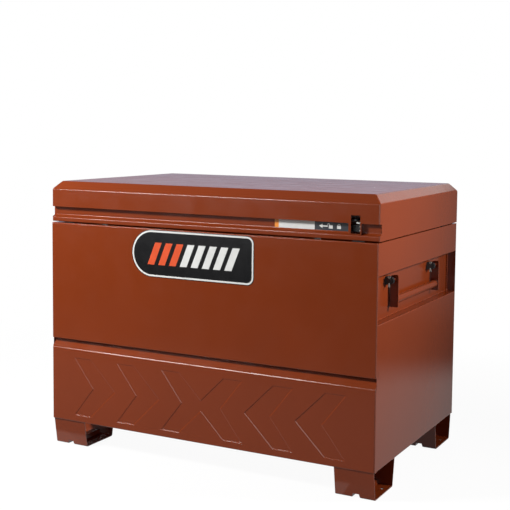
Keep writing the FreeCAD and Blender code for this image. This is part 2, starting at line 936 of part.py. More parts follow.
def rivet_head(seat, outward, radius):
    """Low domed head: a slice of a ball on the seat."""
    ball = (radius ** 2 + rivet_head_height ** 2) / (2 * rivet_head_height)
    centre = seat + outward * (rivet_head_height - ball)
    slab = Part.makeCylinder(radius + reach, rivet_head_height + reach, seat, outward)
    return Part.makeSphere(ball, centre).common(slab)


def hinge_rivets(level):
    rivets = []
    y0 = y_back - sheet
    y1 = y_back + hinge_leaf
    for x in rivet_places():
        shank = rod(rivet_radius, V(x, y0, level), V(x, y1, level))
        outer = rivet_head(V(x, y1, level), V(0, 1, 0), rivet_head_radius)
        inner = rivet_head(V(x, y0, level), V(0, -1, 0), rivet_head_radius)
        rivets.append(joined([shank, outer, inner]))
    return rivets


# ------------------------------------------------------------------ gas springs

def spring_points():
    """Body pivot, lid pivot and the unit vector between them, on the right side."""
    body = V(x_spring, y_hinge - body_pivot_ahead, z_hinge - body_pivot_below)
    lid = V(x_spring, y_hinge - lid_pivot_ahead, z_hinge + lid_pivot_above)
    along = V(lid - body)
    along.normalize()
    return body, lid, along


def spring_socket(centre):
    side = V(socket_half_width, 0, 0)
    return rod(socket_radius, centre - side, centre + side)


def spring_cylinder():
    """Pressure tube with a floor and a rod guide."""
    body, lid, along = spring_points()
    mouth = lid - along * rod_exposed
    tube = rod(tube_radius, body + along * tube_start, mouth)
    chamber = rod(tube_radius - tube_wall, body + along * (tube_start + tube_floor), mouth - along * tube_guide)
    passage = rod(rod_radius + rod_fit, mouth - along * (tube_guide + reach), mouth + along * reach)
    return tube.cut(chamber).cut(passage)


def spring_lower_socket():
    body, lid, along = spring_points()
    neck = rod(socket_neck_radius, body, body + along * tube_start)
    stud = V(socket_half_width + reach, 0, 0)
    return joined([spring_socket(body), neck]).cut(rod(stud_radius + stud_fit, body - stud, body + stud))


def spring_rod():
    """Piston rod with its piston inside the tube."""
    body, lid, along = spring_points()
    start = body + along * (tube_start + tube_floor + piston_lift)
    neck = lid - along * socket_radius
    piston = rod(tube_radius - tube_wall - piston_gap, start, start + along * piston_length)
    return joined([rod(rod_radius, start, neck), piston])


def spring_upper_socket():
    body, lid, along = spring_points()
    seat = rod(rod_radius, lid - along * socket_radius, lid)
    socket = spring_socket(lid)
    return joined([socket, seat]).cut(spring_rod())


def bracket(centre, x_wall):
    """Bent strap from an end wall to the plate that carries a ball stud."""
    x0 = centre.x + bracket_stand
    x1 = x0 + bracket_sheet
    y0 = centre.y - bracket_half_width
    y1 = centre.y + bracket_half_width
    z_shelf = centre.z + bracket_half_width
    line = [
        (x0, centre.z - bracket_half_width), (x0, z_shelf),
        (x_wall - bracket_sheet, z_shelf), (x_wall - bracket_sheet, z_shelf + bracket_flange),
    ]
    return prism_y(bent(line, -bracket_sheet), y0, y1)


def spring_body_bracket():
    return bracket(spring_points()[0], x_end - sheet)


def spring_lid_bracket():
    return bracket(spring_points()[1], x_lid - sheet)


def spring_body_stud():
    """Stud through the lower socket, with a clip at its end."""
    body = spring_points()[0]
    plate = body + V(bracket_stand, 0, 0)
    clip = body - V(socket_half_width + ring_gap, 0, 0)
    collar = rod(stud_clip_radius, body + V(socket_half_width + stud_gap, 0, 0), plate)
    shank = rod(stud_radius, clip, plate)
    cap = rod(stud_clip_radius, clip - V(stud_clip_thickness, 0, 0), clip)
    return joined([shank, collar, cap])


def spring_lid_stud():
    """Collar on the lid bracket that stops short of the upper socket."""
    lid = spring_points()[1]
    return rod(stud_clip_radius, lid + V(socket_half_width + stud_gap, 0, 0), lid + V(bracket_stand, 0, 0))


# ------------------------------------------------------------------ plates

def marker_plate():
    """Blank plate on the front, round at its left end."""
    half = plate_height / 2
    y0 = y_front - plate_thickness
    x_round = x_plate_left + half
    x_corner = x_plate_right - plate_corner
    z_corner = half - plate_corner
    middle = box(x_round, x_corner, y0, y_front, z_plate - half, z_plate + half)
    round_end = rod(half, V(x_round, y0, z_plate), V(x_round, y_front, z_plate))
    side = box(x_corner, x_plate_right, y0, y_front, z_plate - z_corner, z_plate + z_corner)
    corners = []
    for z in (z_plate - z_corner, z_plate + z_corner):
        corners.append(rod(plate_corner, V(x_corner, y0, z), V(x_corner, y_front, z)))
    return joined([middle, round_end, side] + corners)


def lock_label():
    """Thin plate in the finger recess, left of the lock."""
    x_right = x_housing_left - label_gap
    return box(x_right - label_length, x_right, y_recess - label_thickness, y_recess,
               z_lip + ledge_rise + label_margin, z_face - label_margin)


# ------------------------------------------------------------------ write the pieces

def save_pairs():
    """Pieces that the left side repeats in a mirror."""
    pairs = {
        "end_panel": end_panel(),
        "end_rim": end_rim(),
        "front_foot": foot(),
        "rear_foot": rear_foot(),
        "handle_arms": Part.makeCompound(handle_arms()),
        "handle_grip": handle_grip(),
        "pivot_blocks": Part.makeCompound(pivot_blocks()),
        "pivot_pins": Part.makeCompound(pivot_pins()),
        "spring_cylinder": spring_cylinder(),
        "spring_lower_socket": spring_lower_socket(),
        "spring_rod": spring_rod(),
        "spring_upper_socket": spring_upper_socket(),
        "lid_end": lid_end(),
    }
    for name, shape in pairs.items():
        save("right_" + name, shape)
        save("left_" + name, mirrored(shape))


def save_singles():
    singles = {
        "front_upper_panel": front_upper_panel(),
        "front_kick_panel": front_kick_panel(),
        "back_panel": back_panel(),
        "bottom_panel": bottom_panel(),
        "recess_weld_beads": recess_weld_beads(),
        "front_rim": front_rim(),
        "rear_rim": rear_rim(),
        "latch_keepers": latch_keepers(),
        "lid_rest_pads": lid_rest_pads(),
        "pivot_rings": both_sides(Part.makeCompound(pivot_rings())),
        "split_pins": both_sides(Part.makeCompound(split_pins())),
        "pivot_block_screws": both_sides(Part.makeCompound(block_screws())),
        "lid_skin": lid_skin(),
        "lid_front_channel": lid_front_channel(),
        "lid_stiffeners": lid_stiffeners(),
        "lock_housing": lock_housing(),
        "padlock_hasp": padlock_hasp(),
        "latch_tab": latch_tab(),
        "latch_bar": latch_bar(),
        "latch_hooks": latch_hooks(),
        "latch_rivets": latch_rivets(),
        "latch_guides": latch_guides(),
        "hinge_body_leaf": hinge_half(False),
        "hinge_lid_leaf": hinge_half(True),
        "hinge_pin": hinge_pin(),
        "hinge_body_rivets": hinge_rivets(z_hinge - rivet_drop()),
        "hinge_lid_rivets": hinge_rivets(z_hinge + rivet_drop()),
        "spring_body_brackets": both_sides(spring_body_bracket()),
        "spring_lid_brackets": both_sides(spring_lid_bracket()),
        "spring_body_studs": both_sides(spring_body_stud()),
        "spring_lid_studs": both_sides(spring_lid_stud()),
        "marker_plate": marker_plate(),
        "lock_label": lock_label(),
    }
    for name, shape in singles.items():
        save(name, shape)


save_pairs()
save_singles()
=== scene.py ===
import json
import math

import bmesh
import bpy
from bpy.props import FloatProperty, FloatVectorProperty, IntProperty, PointerProperty
from mathutils import Matrix, Vector

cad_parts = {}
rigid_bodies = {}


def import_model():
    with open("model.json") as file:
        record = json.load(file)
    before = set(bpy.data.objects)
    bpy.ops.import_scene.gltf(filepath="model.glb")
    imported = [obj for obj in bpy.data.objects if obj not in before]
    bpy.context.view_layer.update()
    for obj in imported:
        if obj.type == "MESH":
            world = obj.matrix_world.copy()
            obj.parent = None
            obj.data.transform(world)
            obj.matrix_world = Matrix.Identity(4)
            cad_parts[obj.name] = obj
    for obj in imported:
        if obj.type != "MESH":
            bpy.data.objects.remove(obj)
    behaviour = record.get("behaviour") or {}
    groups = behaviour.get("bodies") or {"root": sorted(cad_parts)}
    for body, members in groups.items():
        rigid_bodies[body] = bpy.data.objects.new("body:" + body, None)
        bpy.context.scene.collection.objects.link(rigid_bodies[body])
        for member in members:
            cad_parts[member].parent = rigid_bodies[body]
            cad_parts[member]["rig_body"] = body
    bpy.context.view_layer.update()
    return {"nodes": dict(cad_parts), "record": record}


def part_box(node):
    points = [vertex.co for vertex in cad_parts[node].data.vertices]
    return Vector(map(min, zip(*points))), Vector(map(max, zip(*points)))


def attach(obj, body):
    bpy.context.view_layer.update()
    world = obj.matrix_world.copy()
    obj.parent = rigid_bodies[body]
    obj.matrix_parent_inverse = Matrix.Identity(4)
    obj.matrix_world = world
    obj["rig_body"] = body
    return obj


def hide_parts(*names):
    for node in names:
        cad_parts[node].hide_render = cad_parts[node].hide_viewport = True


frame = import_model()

bl_info = {
    "name": "Jobsite storage box",
    "version": (1, 0, 0),
    "blender": (4, 5, 0),
    "location": "3D View > Sidebar > Storage box",
    "description": "Dresses the steel storage box in rounded sheet, paint, plating and prints",
    "category": "Object",
}

MM = 0.001
NODES = frame["nodes"]
SLOTS = {part["node"]: part["material_slot"] for part in frame["record"]["subparts"]}
SIDES = ("right", "left")
X, Y, Z = Vector((1, 0, 0)), Vector((0, 1, 0)), Vector((0, 0, 1))

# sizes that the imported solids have, which no corner of their boxes gives
FLANGE = 20 * MM
WELD_LEG = 4 * MM
GRIP_WELD = 1.2 * MM
KICK_HEIGHT = 255 * MM
RECESS_DEPTH = 13 * MM
WINDOW_INSET, WINDOW_WIDTH = 4 * MM, 30 * MM
WINDOW_RISE, WINDOW_HEIGHT = 3 * MM, 55 * MM
# how deep the middle of a grip's weld ring lies in the bar, how much its radius is more than the weld's
# height, and how deep its ripples are
RING_SINK, RING_EXTRA, RING_RIPPLE = 0.5 * MM, 0.4 * MM, 0.35 * MM
# a corner bead's distance from its corner and the depth of its ripples, as shares of its radius
WELD_SINK, WELD_RIPPLE = 0.6, 0.42
# how far back from its front end a handle's pin is black, and how far a finger tab is bare zinc before the
# black that is painted shade of the dark lock housing
PIN_CAP, ZINC_TIP_BEFORE_PAINTED_SHADE = 9 * MM, 1.5 * MM
# how wide edges are rounded, by how the part is made
GROUND_EDGE, CUT_EDGE, THICK_EDGE = 0.3 * MM, 0.4 * MM, 0.5 * MM
STAMPED_EDGE, BAR_EDGE, GUIDE_EDGE = 0.6 * MM, 0.7 * MM, 0.8 * MM
TURNED_EDGE, SOFT_EDGE, BLOCK_EDGE = 1.0 * MM, 1.2 * MM, 1.6 * MM
PLATE_EDGE = 0.2 * MM
# angles in radians: less isn't a fold, or not one of a foot's, and a fold by more is sharp
FOLD, FOOT_FOLD, STEEP = 0.3, 0.5, 1.4
# gap between the channel's flange and the flanges of the lid's ends
FLANGE_GAP = 0.3 * MM
# margin that tells the lip's own faces from those of the fold above it
LIP_TUCK = 0.5 * MM
# the lid's faces whose middles lie less than this many metres behind the finger recess are cut at its
# levels, which are all but the rear one
BEFORE_REAR = 0.5
# a face looks along an axis if its normal has at least this share of it, and straight along it with more
FACING, STRAIGHT = 0.9, 0.98
# lengths and areas, in metres and square metres, that count as nothing
NOTHING, NO_AREA = 1e-5, 1e-7
# turns a cylinder or a ring to lie along Y
ALONG_Y = (math.pi / 2, 0, 0)
# small lift that keeps one sheet's face clear of the face under it
LIFT = 0.05 * MM


def linear(code):
    """sRGB hex to the linear red, green and blue that Blender works in."""
    values = [int(code[i:i + 2], 16) / 255 for i in (1, 3, 5)]
    return tuple(v / 12.92 if v <= 0.04045 else ((v + 0.055) / 1.055) ** 2.4 for v in values)


# ---------------------------------------------------------------- sizes and colours

def size(name, description, default):
    return FloatProperty(name=name, description=description, default=default * MM, min=0, unit="LENGTH",
                         precision=4)


def colour(name, description, code):
    return FloatVectorProperty(name=name, description=description, default=linear(code), min=0, max=1,
                               subtype="COLOR")


class SheetSizes(bpy.types.PropertyGroup):
    wall: size("Sheet", "Thickness of the body and lid sheet", 1.5)
    bend: size("Bend radius", "Outer radius of a fold in the sheet", 3.2)
    soft_bend: size("Shallow bend", "Length that a shallow fold takes up on each side", 4.0)
    turn: size("Corner return", "How far the front sheets turn round the corners", 6.0)
    edge: size("Edge break", "Rounding of a cut sheet edge under the paint", 0.4)
    foot: size("Foot sheet", "Thickness of the foot sheet", 3.0)
    foot_bend: size("Foot bend", "Outer radius of a fold in the thicker foot sheet", 5.0)
    chamfer_run: size("Chamfer run", "How far the lid's chamfer reaches in", 24.8)
    chamfer_drop: size("Chamfer drop", "How far the lid's chamfer reaches down", 26.5)
    flange: size("Lid end flange", "Width of the lid ends' lower flange", 15.0)
    channel_tab: size("Channel tab", "Overlap of the finger recess behind the lid's face", 18.0)
    ledge: size("Ledge rise", "Slope of the ledge under the finger recess", 3.0)
    ledge_bend: size("Ledge bend", "Length that a fold of that ledge takes up on each side", 4.6)
    kick_bend: size("Kick bend", "Length that the fold under the groove takes up on each side", 3.6)
    weld: size("Weld bead", "Radius of a weld bead", 3.6)
    weld_step: size("Weld ripple", "Distance between two ripples of a weld", 8.0)


class ChevronSizes(bpy.types.PropertyGroup):
    count: IntProperty(name="Chevrons", description="Chevrons on each side of the middle", default=3, min=1)
    first: size("First", "Inner corner of the middle chevrons, from the middle", 75.0)
    pitch: size("Pitch", "Distance from chevron to chevron", 180.0)
    half_height: size("Half height", "Half of a chevron's height", 102.0)
    run: size("Run", "How far each arm leans back", 80.0)
    arm: size("Arm width", "Width of an arm at its end", 71.0)
    tip: size("Tip width", "Width at the tip", 94.0)
    rise: size("Rise", "Height of the tips above the panel's lower edge", 125.0)
    depth: size("Press depth", "How deep the chevrons are pressed in", 1.4)
    slope: size("Pressed wall", "Width of the sloping wall round a chevron", 2.2)
    rounding: size("Pressed edge", "Rounding of a chevron's edges", 0.6)


class PrintSizes(bpy.types.PropertyGroup):
    margin: size("Plate margin", "Dark margin outside the marker plate's border", 2.0)
    border: size("Plate border", "Width of the marker plate's pale border", 5.5)
    bar: size("Bar width", "Width of a slanted bar on the marker plate", 26.0)
    bar_height: size("Bar height", "Height of a slanted bar on the marker plate", 74.0)
    bar_pitch: size("Bar pitch", "Distance from bar to bar", 42.0)
    bar_slant: size("Bar slant", "How far a bar leans", 30.0)
    bar_start: size("Bar start", "First bar, from the plate's left end", 62.0)
    bar_count: IntProperty(name="Bars", description="Slanted bars on the marker plate", default=8, min=1)
    warm_bars: IntProperty(name="Orange bars", description="Bars that are orange", default=3, min=0)
    ink: size("Ink", "Height of the printed marks", 0.1)
    label_warm: size("Amber field", "Length of the label's amber field", 14.0)
    label_pale: size("Pale field", "Length of the label's pale field", 123.0)
    arrow: size("Arrow", "Length of the arrow on the label", 33.0)
    arrow_height: size("Arrow height", "Height of the arrow's head", 12.0)
    padlock: size("Padlock sign", "Width of a padlock sign's body", 13.0)
    shackle: size("Shackle", "Radius of a padlock sign's shackle", 3.8)
    sign_pitch: size("Sign pitch", "Distance from sign to sign on the label", 27.0)


class PaintColours(bpy.types.PropertyGroup):
    paint: colour("Paint", "Rust-brown powder coat", "#7E3313")
    paint_deep: colour("Paint, deep", "The same coat where it lies thicker", "#773012")
    zinc: colour("Zinc", "Clear zinc plate", "#B9B8B2")
    zinc_dull: colour("Zinc, dull", "Zinc plate where it has dulled", "#94938D")
    black: colour("Black", "Moulded black nylon and rubber", "#0F0F10")
    enamel: colour("Enamel", "Black enamel of the gas springs", "#0E0E10")
    chrome: colour("Chrome", "Hard chrome of the piston rods", "#D9DBDD")
    ink_black: colour("Black ink", "Field of the marker plate", "#0E0E10")
    ink_pale: colour("Pale ink", "Border and bars of the marker plate", "#DEDEDB")
    ink_orange: colour("Orange ink", "Orange bars of the marker plate", "#DC5630")
    ink_amber: colour("Amber ink", "End field of the label", "#F2963C")
    ink_grey: colour("Grey ink", "Dark field of the label", "#3A3B40")


class StageSettings(bpy.types.PropertyGroup):
    place: FloatVectorProperty(name="Camera place", description="Where the camera stands",
                               default=(1.7198, -3.2298, 1.1345), subtype="TRANSLATION", unit="LENGTH")
    yaw: FloatProperty(name="Yaw", description="Camera turned to its left", default=0.482, unit="ROTATION")
    pitch: FloatProperty(name="Pitch", description="Camera tipped down", default=0.079, unit="ROTATION")
    roll: FloatProperty(name="Roll", description="Camera rolled", default=0.010, unit="ROTATION")
    lens: FloatProperty(name="Lens", description="Focal length for a 36 mm frame", default=73.06,
                        unit="CAMERA")
    shift: FloatVectorProperty(name="Shift", description="Lens shift", default=(-0.0206, -0.0957), size=2)
    ambient: FloatProperty(name="Ambient", description="Even light from all round", default=0.05, min=0)
    floor: colour("Floor", "Floor and backdrop", "#FCFCFB")
    dark: colour("Dark screen", "Screen before the chest that only gloss shows", "#5A5A5A")
    grey: colour("Grey screen", "Screen beside the chest that only gloss shows", "#767676")
    mat: colour("Mat", "Mat before the chest that only gloss shows", "#A0A0A0")
    strip: colour("Strip", "Strip light that gives the pressed walls their glint", "#FFFFFF")
    shade: colour("High shade", "Dark screen above the softbox that only gloss shows", "#323232")
    pale: colour("Pale mat", "Mat beside the chest that only gloss shows", "#AFAFAF")
    softbox: colour("Softbox", "Softbox that gives the folds their highlights", "#FFFFFF")
    card: colour("Pale card", "Card behind the lid that only gloss shows", "#B4B6C8")


# ---------------------------------------------------------------- modelling helpers

def deselect():
    """Object mode with nothing selected."""
    if bpy.context.view_layer.objects.active and bpy.context.mode != "OBJECT":
        bpy.ops.object.mode_set(mode="OBJECT")
    bpy.ops.object.select_all(action="DESELECT")


def activate(piece):
    deselect()
    piece.select_set(True)
    bpy.context.view_layer.objects.active = piece


def settle():
    """Puts the place, turn and size of the active piece into its mesh."""
    bpy.ops.object.transform_apply(location=True, rotation=True, scale=True)


def primitive(kind, name, **settings):
    """Adds a mesh primitive at its size and place, and names it."""
    deselect()
    getattr(bpy.ops.mesh, "primitive_" + kind + "_add")(**settings)
    piece = bpy.context.active_object
    piece.name = piece.data.name = name
    settle()
    return piece


def block(name, low, high):
    """Cube between two corners."""
    low, high = Vector(low), Vector(high)
    return primitive("cube", name, size=1, location=(low + high) / 2, scale=high - low)


def shape(piece):
    """Opens a piece in edit mode."""
    activate(piece)
    bpy.ops.object.mode_set(mode="EDIT")


def done():
    bpy.ops.object.mode_set(mode="OBJECT")


def choose(piece, kind, test):
    """In edit mode, selects the verts, edges or faces that pass a test, and nothing else."""
    bpy.ops.mesh.select_mode(type={"verts": "VERT", "edges": "EDGE", "faces": "FACE"}[kind])
    bpy.ops.mesh.select_all(action="DESELECT")
    mesh = bmesh.from_edit_mesh(piece.data)
    found = [part for part in getattr(mesh, kind) if test(part)]
    for part in found:
        part.select_set(True)
    mesh.select_flush_mode()
    bmesh.update_edit_mesh(piece.data)
    if not found:
        raise RuntimeError(piece.name + ": no " + kind + " there to shape")


def choose_all():
    bpy.ops.mesh.select_all(action="SELECT")


def extrude(step):
    """Extrudes the chosen edges by a step."""
    bpy.ops.mesh.extrude_edges_move(TRANSFORM_OT_translate={"value": step})


def middle(part):
    """Middle of an edge or a face."""
    return sum((v.co for v in part.verts), Vector()) / len(part.verts)


def near(a, b, gap=0.05 * MM):
    return abs(a - b) < gap


def slice_at(piece, place, normal, test=None, clear=False, fill=False):
    """Bisects a piece, or the faces that pass a test, and can clear the side that the normal points to."""
    choose(piece, "faces", test or (lambda face: True))
    bpy.ops.mesh.bisect(plane_co=place, plane_no=normal, clear_outer=clear, use_fill=fill, threshold=NOTHING)


def facing(axis, share=FACING):
    """Test for faces that look along an axis."""
    return lambda face: face.normal.dot(axis) > share


def remove(piece, test):
    choose(piece, "faces", test)
    bpy.ops.mesh.delete(type="FACE")


def folded(edge):
    """Whether an edge is a fold, with a face on each side."""
    return len(edge.link_faces) == 2 and edge.calc_face_angle(0) > FOLD


def round_edges(piece, test, radius, segments=4):
    choose(piece, "edges", test)
    bpy.ops.mesh.bevel(offset=radius, offset_type="OFFSET", segments=segments, affect="EDGES",
                       clamp_overlap=False)


def round_folds(piece, sheet, soft_bend=None):
    """Rounds the shallow folds of a sheet widely, then the sharp ones tightly."""
    shallow = lambda edge: folded(edge) and edge.calc_face_angle(0) < STEEP
    if any(shallow(edge) for edge in bmesh.from_edit_mesh(piece.data).edges):
        round_edges(piece, shallow, soft_bend or sheet.soft_bend, 6)
    round_edges(piece, lambda edge: folded(edge) and edge.calc_face_angle(0) > STEEP, sheet.bend)


def modify(piece, kind, **settings):
    """Adds a modifier and applies it."""
    activate(piece)
    modifier = piece.modifiers.new(kind.title(), kind)
    for key, value in settings.items():
        setattr(modifier, key, value)
    bpy.ops.object.modifier_apply(modifier=modifier.name)


def soften(piece, radius, segments=2, angle=50):
    """Rounds every sharp edge a little, as paint and tumbling do."""
    modify(piece, "BEVEL", width=radius, segments=segments, limit_method="ANGLE",
           angle_limit=math.radians(angle), use_clamp_overlap=True)


def join(pieces):
    """Several meshes made one piece, named as the first."""
    activate(pieces[0])
    for piece in pieces[1:]:
        piece.select_set(True)
    bpy.ops.object.join()
    return pieces[0]


def merge_flat(degrees, **settings):
    """Merges faces that lie flat against each other."""
    choose_all()
    bpy.ops.mesh.dissolve_limited(angle_limit=math.radians(degrees), **settings)


def merged_copy(node, name):
    """A copy of a CAD node with its loose triangles merged into whole faces."""
    piece = bpy.data.objects.new(name, NODES[node].data.copy())
    bpy.context.scene.collection.objects.link(piece)
    piece.data.name = name
    shape(piece)
    choose_all()
    bpy.ops.mesh.remove_doubles(threshold=0.002 * MM)
    merge_flat(0.3)
    bpy.ops.mesh.customdata_custom_splitnormals_clear()
    done()
    return piece


def face_out():
    """In edit mode, turns every normal of a piece the same way, out of it."""
    choose_all()
    bpy.ops.mesh.normals_make_consistent(inside=False)


def mirrored(piece, name):
    """A copy on the other side of the box."""
    activate(piece)
    bpy.ops.object.duplicate()
    copy = bpy.context.active_object
    copy.name = copy.data.name = name
    copy.scale.x = -1
    settle()
    shape(copy)
    face_out()
    done()
    return copy


def complete(piece, body, finish, slot, *nodes):
    """Shades a finished piece, paints it unless it has its materials, and hands it to the frame."""
    activate(piece)
    settle()
    bpy.ops.object.shade_smooth_by_angle(angle=math.radians(40))
    modify(piece, "WEIGHTED_NORMAL", keep_sharp=True)
    if finish:
        inked(piece, finish)
    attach(piece, body)
    if nodes:
        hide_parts(*nodes)
    return piece


def painted(piece, body, *nodes):
    """Finishes a piece of painted sheet that takes the place of some nodes."""
    return complete(piece, body, "paint", "brown_paint", *nodes)


def inked(piece, *names):
    """Gives a piece its materials, in the order that its faces number them."""
    piece.data.materials.clear()
    for name in names:
        piece.data.materials.append(finishes()[name])
    return piece


def number_faces(piece, number):
    """Gives each face the number of its material, worked out from its middle."""
    for face in piece.data.polygons:
        face.material_index = number(face.center)


def dress(node, finish, radius, segments=2, angle=30):
    """Replaces a CAD node by a copy with rounded edges, and gives it its finish if it has a single one."""
    body = NODES[node]["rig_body"]
    piece = merged_copy(node, node + "_dressed")
    soften(piece, radius, segments, angle)
    return complete(piece, body, finish, SLOTS[node], node)


def dress_each(nodes, *settings):
    for node in nodes:
        dress(node, *settings)


def folded_sheet(name, axis, line, span, sheet, outward, soft_bend=None):
    """Sheet folded along straight lines parallel to X or Y.

    A strip is added between the first two points of the line, its edge is extruded from fold to
    fold, the folds are rounded, and the faces are turned to look along outward.
    """
    def at(along, point):
        return Vector((along, *point)) if axis == "X" else Vector((point[0], along, point[1]))

    piece = primitive("plane", name, size=1)
    low, run = at(span[0], line[0]), at(span[1], line[0])
    side = at(span[0], line[1]) - low
    along = run - low
    columns = (along, side, along.cross(side).normalized(), low + along / 2 + side / 2)
    matrix = Matrix.Identity(4)
    for index, column in enumerate(columns):
        matrix.col[index] = (*column, 1 if index == 3 else 0)
    piece.data.transform(matrix)
    shape(piece)
    last = at(span[0], line[1])
    choose(piece, "edges", lambda edge: all((v.co - last).cross(along).length < NO_AREA for v in edge.verts))
    for before, after in zip(line[1:], line[2:]):
        step = at(0, after) - at(0, before)
        extrude(step)
    face_out()
    first = next(f for f in bmesh.from_edit_mesh(piece.data).faces
                 if (middle(f) - (low + side / 2 + along / 2)).length < NOTHING)
    if first.normal.dot(Vector(outward)) < 0:
        bpy.ops.mesh.flip_normals()
    if len(line) > 2:
        round_folds(piece, sheet, soft_bend)
    done()
    return piece


def give_wall(piece, wall, edge):
    """Thickness behind the outer face, with its cut edges broken."""
    modify(piece, "SOLIDIFY", thickness=wall, offset=-1, use_even_offset=True)
    soften(piece, edge, angle=60)


# ---------------------------------------------------------------- materials

def feed(node, inputs):
    """Sets a node's inputs, or links them to a socket or to another node's first output."""
    for key, value in inputs.items():
        if isinstance(value, bpy.types.Node):
            value = value.outputs[0]
        if isinstance(value, bpy.types.NodeSocket):
            node.id_data.links.new(value, node.inputs[key])
        else:
            node.inputs[key].default_value = value


def add_node(tree, kind, inputs=None, **settings):
    """Adds a shader node with its settings and inputs."""
    node = tree.nodes.new("ShaderNode" + kind)
    for key, value in settings.items():
        setattr(node, key, value)
    feed(node, inputs or {})
    return node


def new_material(name, **shader_inputs):
    """A material with its shader, the object coordinates, and the node tree to add to."""
    made = bpy.data.materials.new(name)
    made.use_nodes = True
    tree = made.node_tree
    shader = tree.nodes["Principled BSDF"]
    feed(shader, {key.replace("_", " "): value for key, value in shader_inputs.items()})
    place = add_node(tree, "TexCoord").outputs["Object"]
    return made, tree, shader, place


def rgba(values):
    return (*values, 1)


def powder_coat(colours):
    """Polyester powder coat on steel, sprayed dry and baked.

    It gives a smooth, fairly glossy skin with a fine orange peel. The sheet under it isn't quite
    flat, so large faces catch the light unevenly.
    """
    made, tree, shader, place = new_material("brown_powder_coat", IOR=1.45)
    # clouds of slightly thicker coat, about 220 mm across
    clouds = add_node(tree, "TexNoise", {"Vector": place, "Scale": 1 / (220 * MM), "Detail": 2.0})
    tone = add_node(tree, "Mix", {0: clouds, 6: rgba(colours.paint_deep), 7: rgba(colours.paint)},
                    data_type="RGBA")
    # handling marks 60 mm across change the gloss a little
    marks = add_node(tree, "TexNoise", {"Vector": place, "Scale": 1 / (60 * MM), "Detail": 4.0})
    gloss = add_node(tree, "MapRange", {"Value": marks, "From Min": 0.3, "From Max": 0.7,
                                        "To Min": 0.15, "To Max": 0.21})
    # waves in the sheet about 350 mm long, then orange peel, drawn at 5 mm so that it shows
    waves = add_node(tree, "TexNoise", {"Vector": place, "Scale": 1 / (350 * MM), "Detail": 1.0})
    sheet = add_node(tree, "Bump", {"Height": waves, "Strength": 1.0, "Distance": 1.6 * MM})
    peel = add_node(tree, "TexNoise", {"Vector": place, "Scale": 1 / (5 * MM), "Detail": 1.0})
    skin = add_node(tree, "Bump", {"Height": peel, "Normal": sheet, "Strength": 1.0,
                                   "Distance": 0.05 * MM})
    feed(shader, {"Base Color": tone.outputs[2], "Roughness": gloss, "Normal": skin})
    return made


def zinc_plate(colours):
    """Bright zinc electroplate on mild steel, cleared with a thin passivation.

    It gives a soft metal sheen with faint rolling lines and dull patches.
    """
    made, tree, shader, place = new_material("zinc_plate", Metallic=1.0)
    dull = add_node(tree, "TexNoise", {"Vector": place, "Scale": 1 / (14 * MM), "Detail": 5.0})
    tone = add_node(tree, "Mix", {0: dull, 6: rgba(colours.zinc_dull), 7: rgba(colours.zinc)},
                    data_type="RGBA")
    # rolling lines 1 mm apart and 40 mm long
    stretched = add_node(tree, "Mapping", {"Vector": place, "Scale": (1 / (40 * MM), 1 / MM, 1 / MM)})
    lines = add_node(tree, "TexNoise", {"Vector": stretched, "Scale": 1.0, "Detail": 2.0})
    gloss = add_node(tree, "MapRange", {"Value": lines, "To Min": 0.30, "To Max": 0.45})
    bump = add_node(tree, "Bump", {"Height": lines, "Distance": 0.01 * MM})
    feed(shader, {"Base Color": tone.outputs[2], "Roughness": gloss, "Normal": bump})
    return made


def moulded(name, base, rough, grain, depth, **shader_inputs):
    """Moulded or sprayed material of one colour, with a grain in its skin and slightly uneven gloss."""
    made, tree, shader, place = new_material(name, **shader_inputs)
    patches = add_node(tree, "TexNoise", {"Vector": place, "Scale": 1 / (9 * grain), "Detail": 3.0})
    tone = add_node(tree, "Mix", {0: patches, 6: rgba([v * 0.86 for v in base]),
                                  7: rgba([min(v * 1.1, 1) for v in base])}, data_type="RGBA")
    gloss = add_node(tree, "MapRange", {"Value": patches, "To Min": rough * 0.88, "To Max": rough * 1.12})
    skin = add_node(tree, "TexNoise", {"Vector": place, "Scale": 1 / grain, "Detail": 2.0})
    bump = add_node(tree, "Bump", {"Height": skin, "Distance": depth})
    feed(shader, {"Base Color": tone.outputs[2], "Roughness": gloss, "Normal": bump})
    return made


def finishes():
    """Every material, made once: name of the finish to material."""
    if FINISHES:
        return FINISHES
    c = bpy.context.scene.box_colours
    FINISHES.update({
        "paint": powder_coat(c),
        "zinc": zinc_plate(c),
        # glass-filled nylon, moulded in a spark-eroded tool: a dull, fine-grained black
        "nylon": moulded("black_nylon", c.black, 0.36, 0.8 * MM, 0.03 * MM, IOR=1.53),
        # EPDM rubber, moulded: dead matt with a dusty bloom
        "rubber": moulded("black_rubber", c.black, 0.8, 1.2 * MM, 0.05 * MM, IOR=1.47),
        # stoved enamel over drawn tube: deep black with a slight peel
        "enamel": moulded("black_enamel", c.enamel, 0.28, 4 * MM, 0.02 * MM, IOR=1.5),
        # hard chrome, ground and polished: a clean mirror with faint grinding haze
        "chrome": moulded("hard_chrome", c.chrome, 0.1, 1.5 * MM, 0.002 * MM, Metallic=1.0),
    })
    # solvent inks screen-printed on polyester film: even, satin colour
    for ink in ("black_ink", "pale_ink", "orange_ink", "amber_ink", "grey_ink"):
        base = getattr(c, "ink_" + ink.split("_")[0])
        FINISHES[ink] = moulded(ink, base, 0.24, 3 * MM, 0.01 * MM, IOR=1.45)
    return FINISHES


FINISHES = {}
SLOT_FINISH = {
    "brown_paint": "paint", "zinc_plate": "zinc", "black_plastic": "nylon", "black_rubber": "rubber",
    "black_enamel": "enamel", "polished_rod": "chrome", "marker_print": "black_ink",
    "label_print": "pale_ink",
}


# ---------------------------------------------------------------- pieces of the body

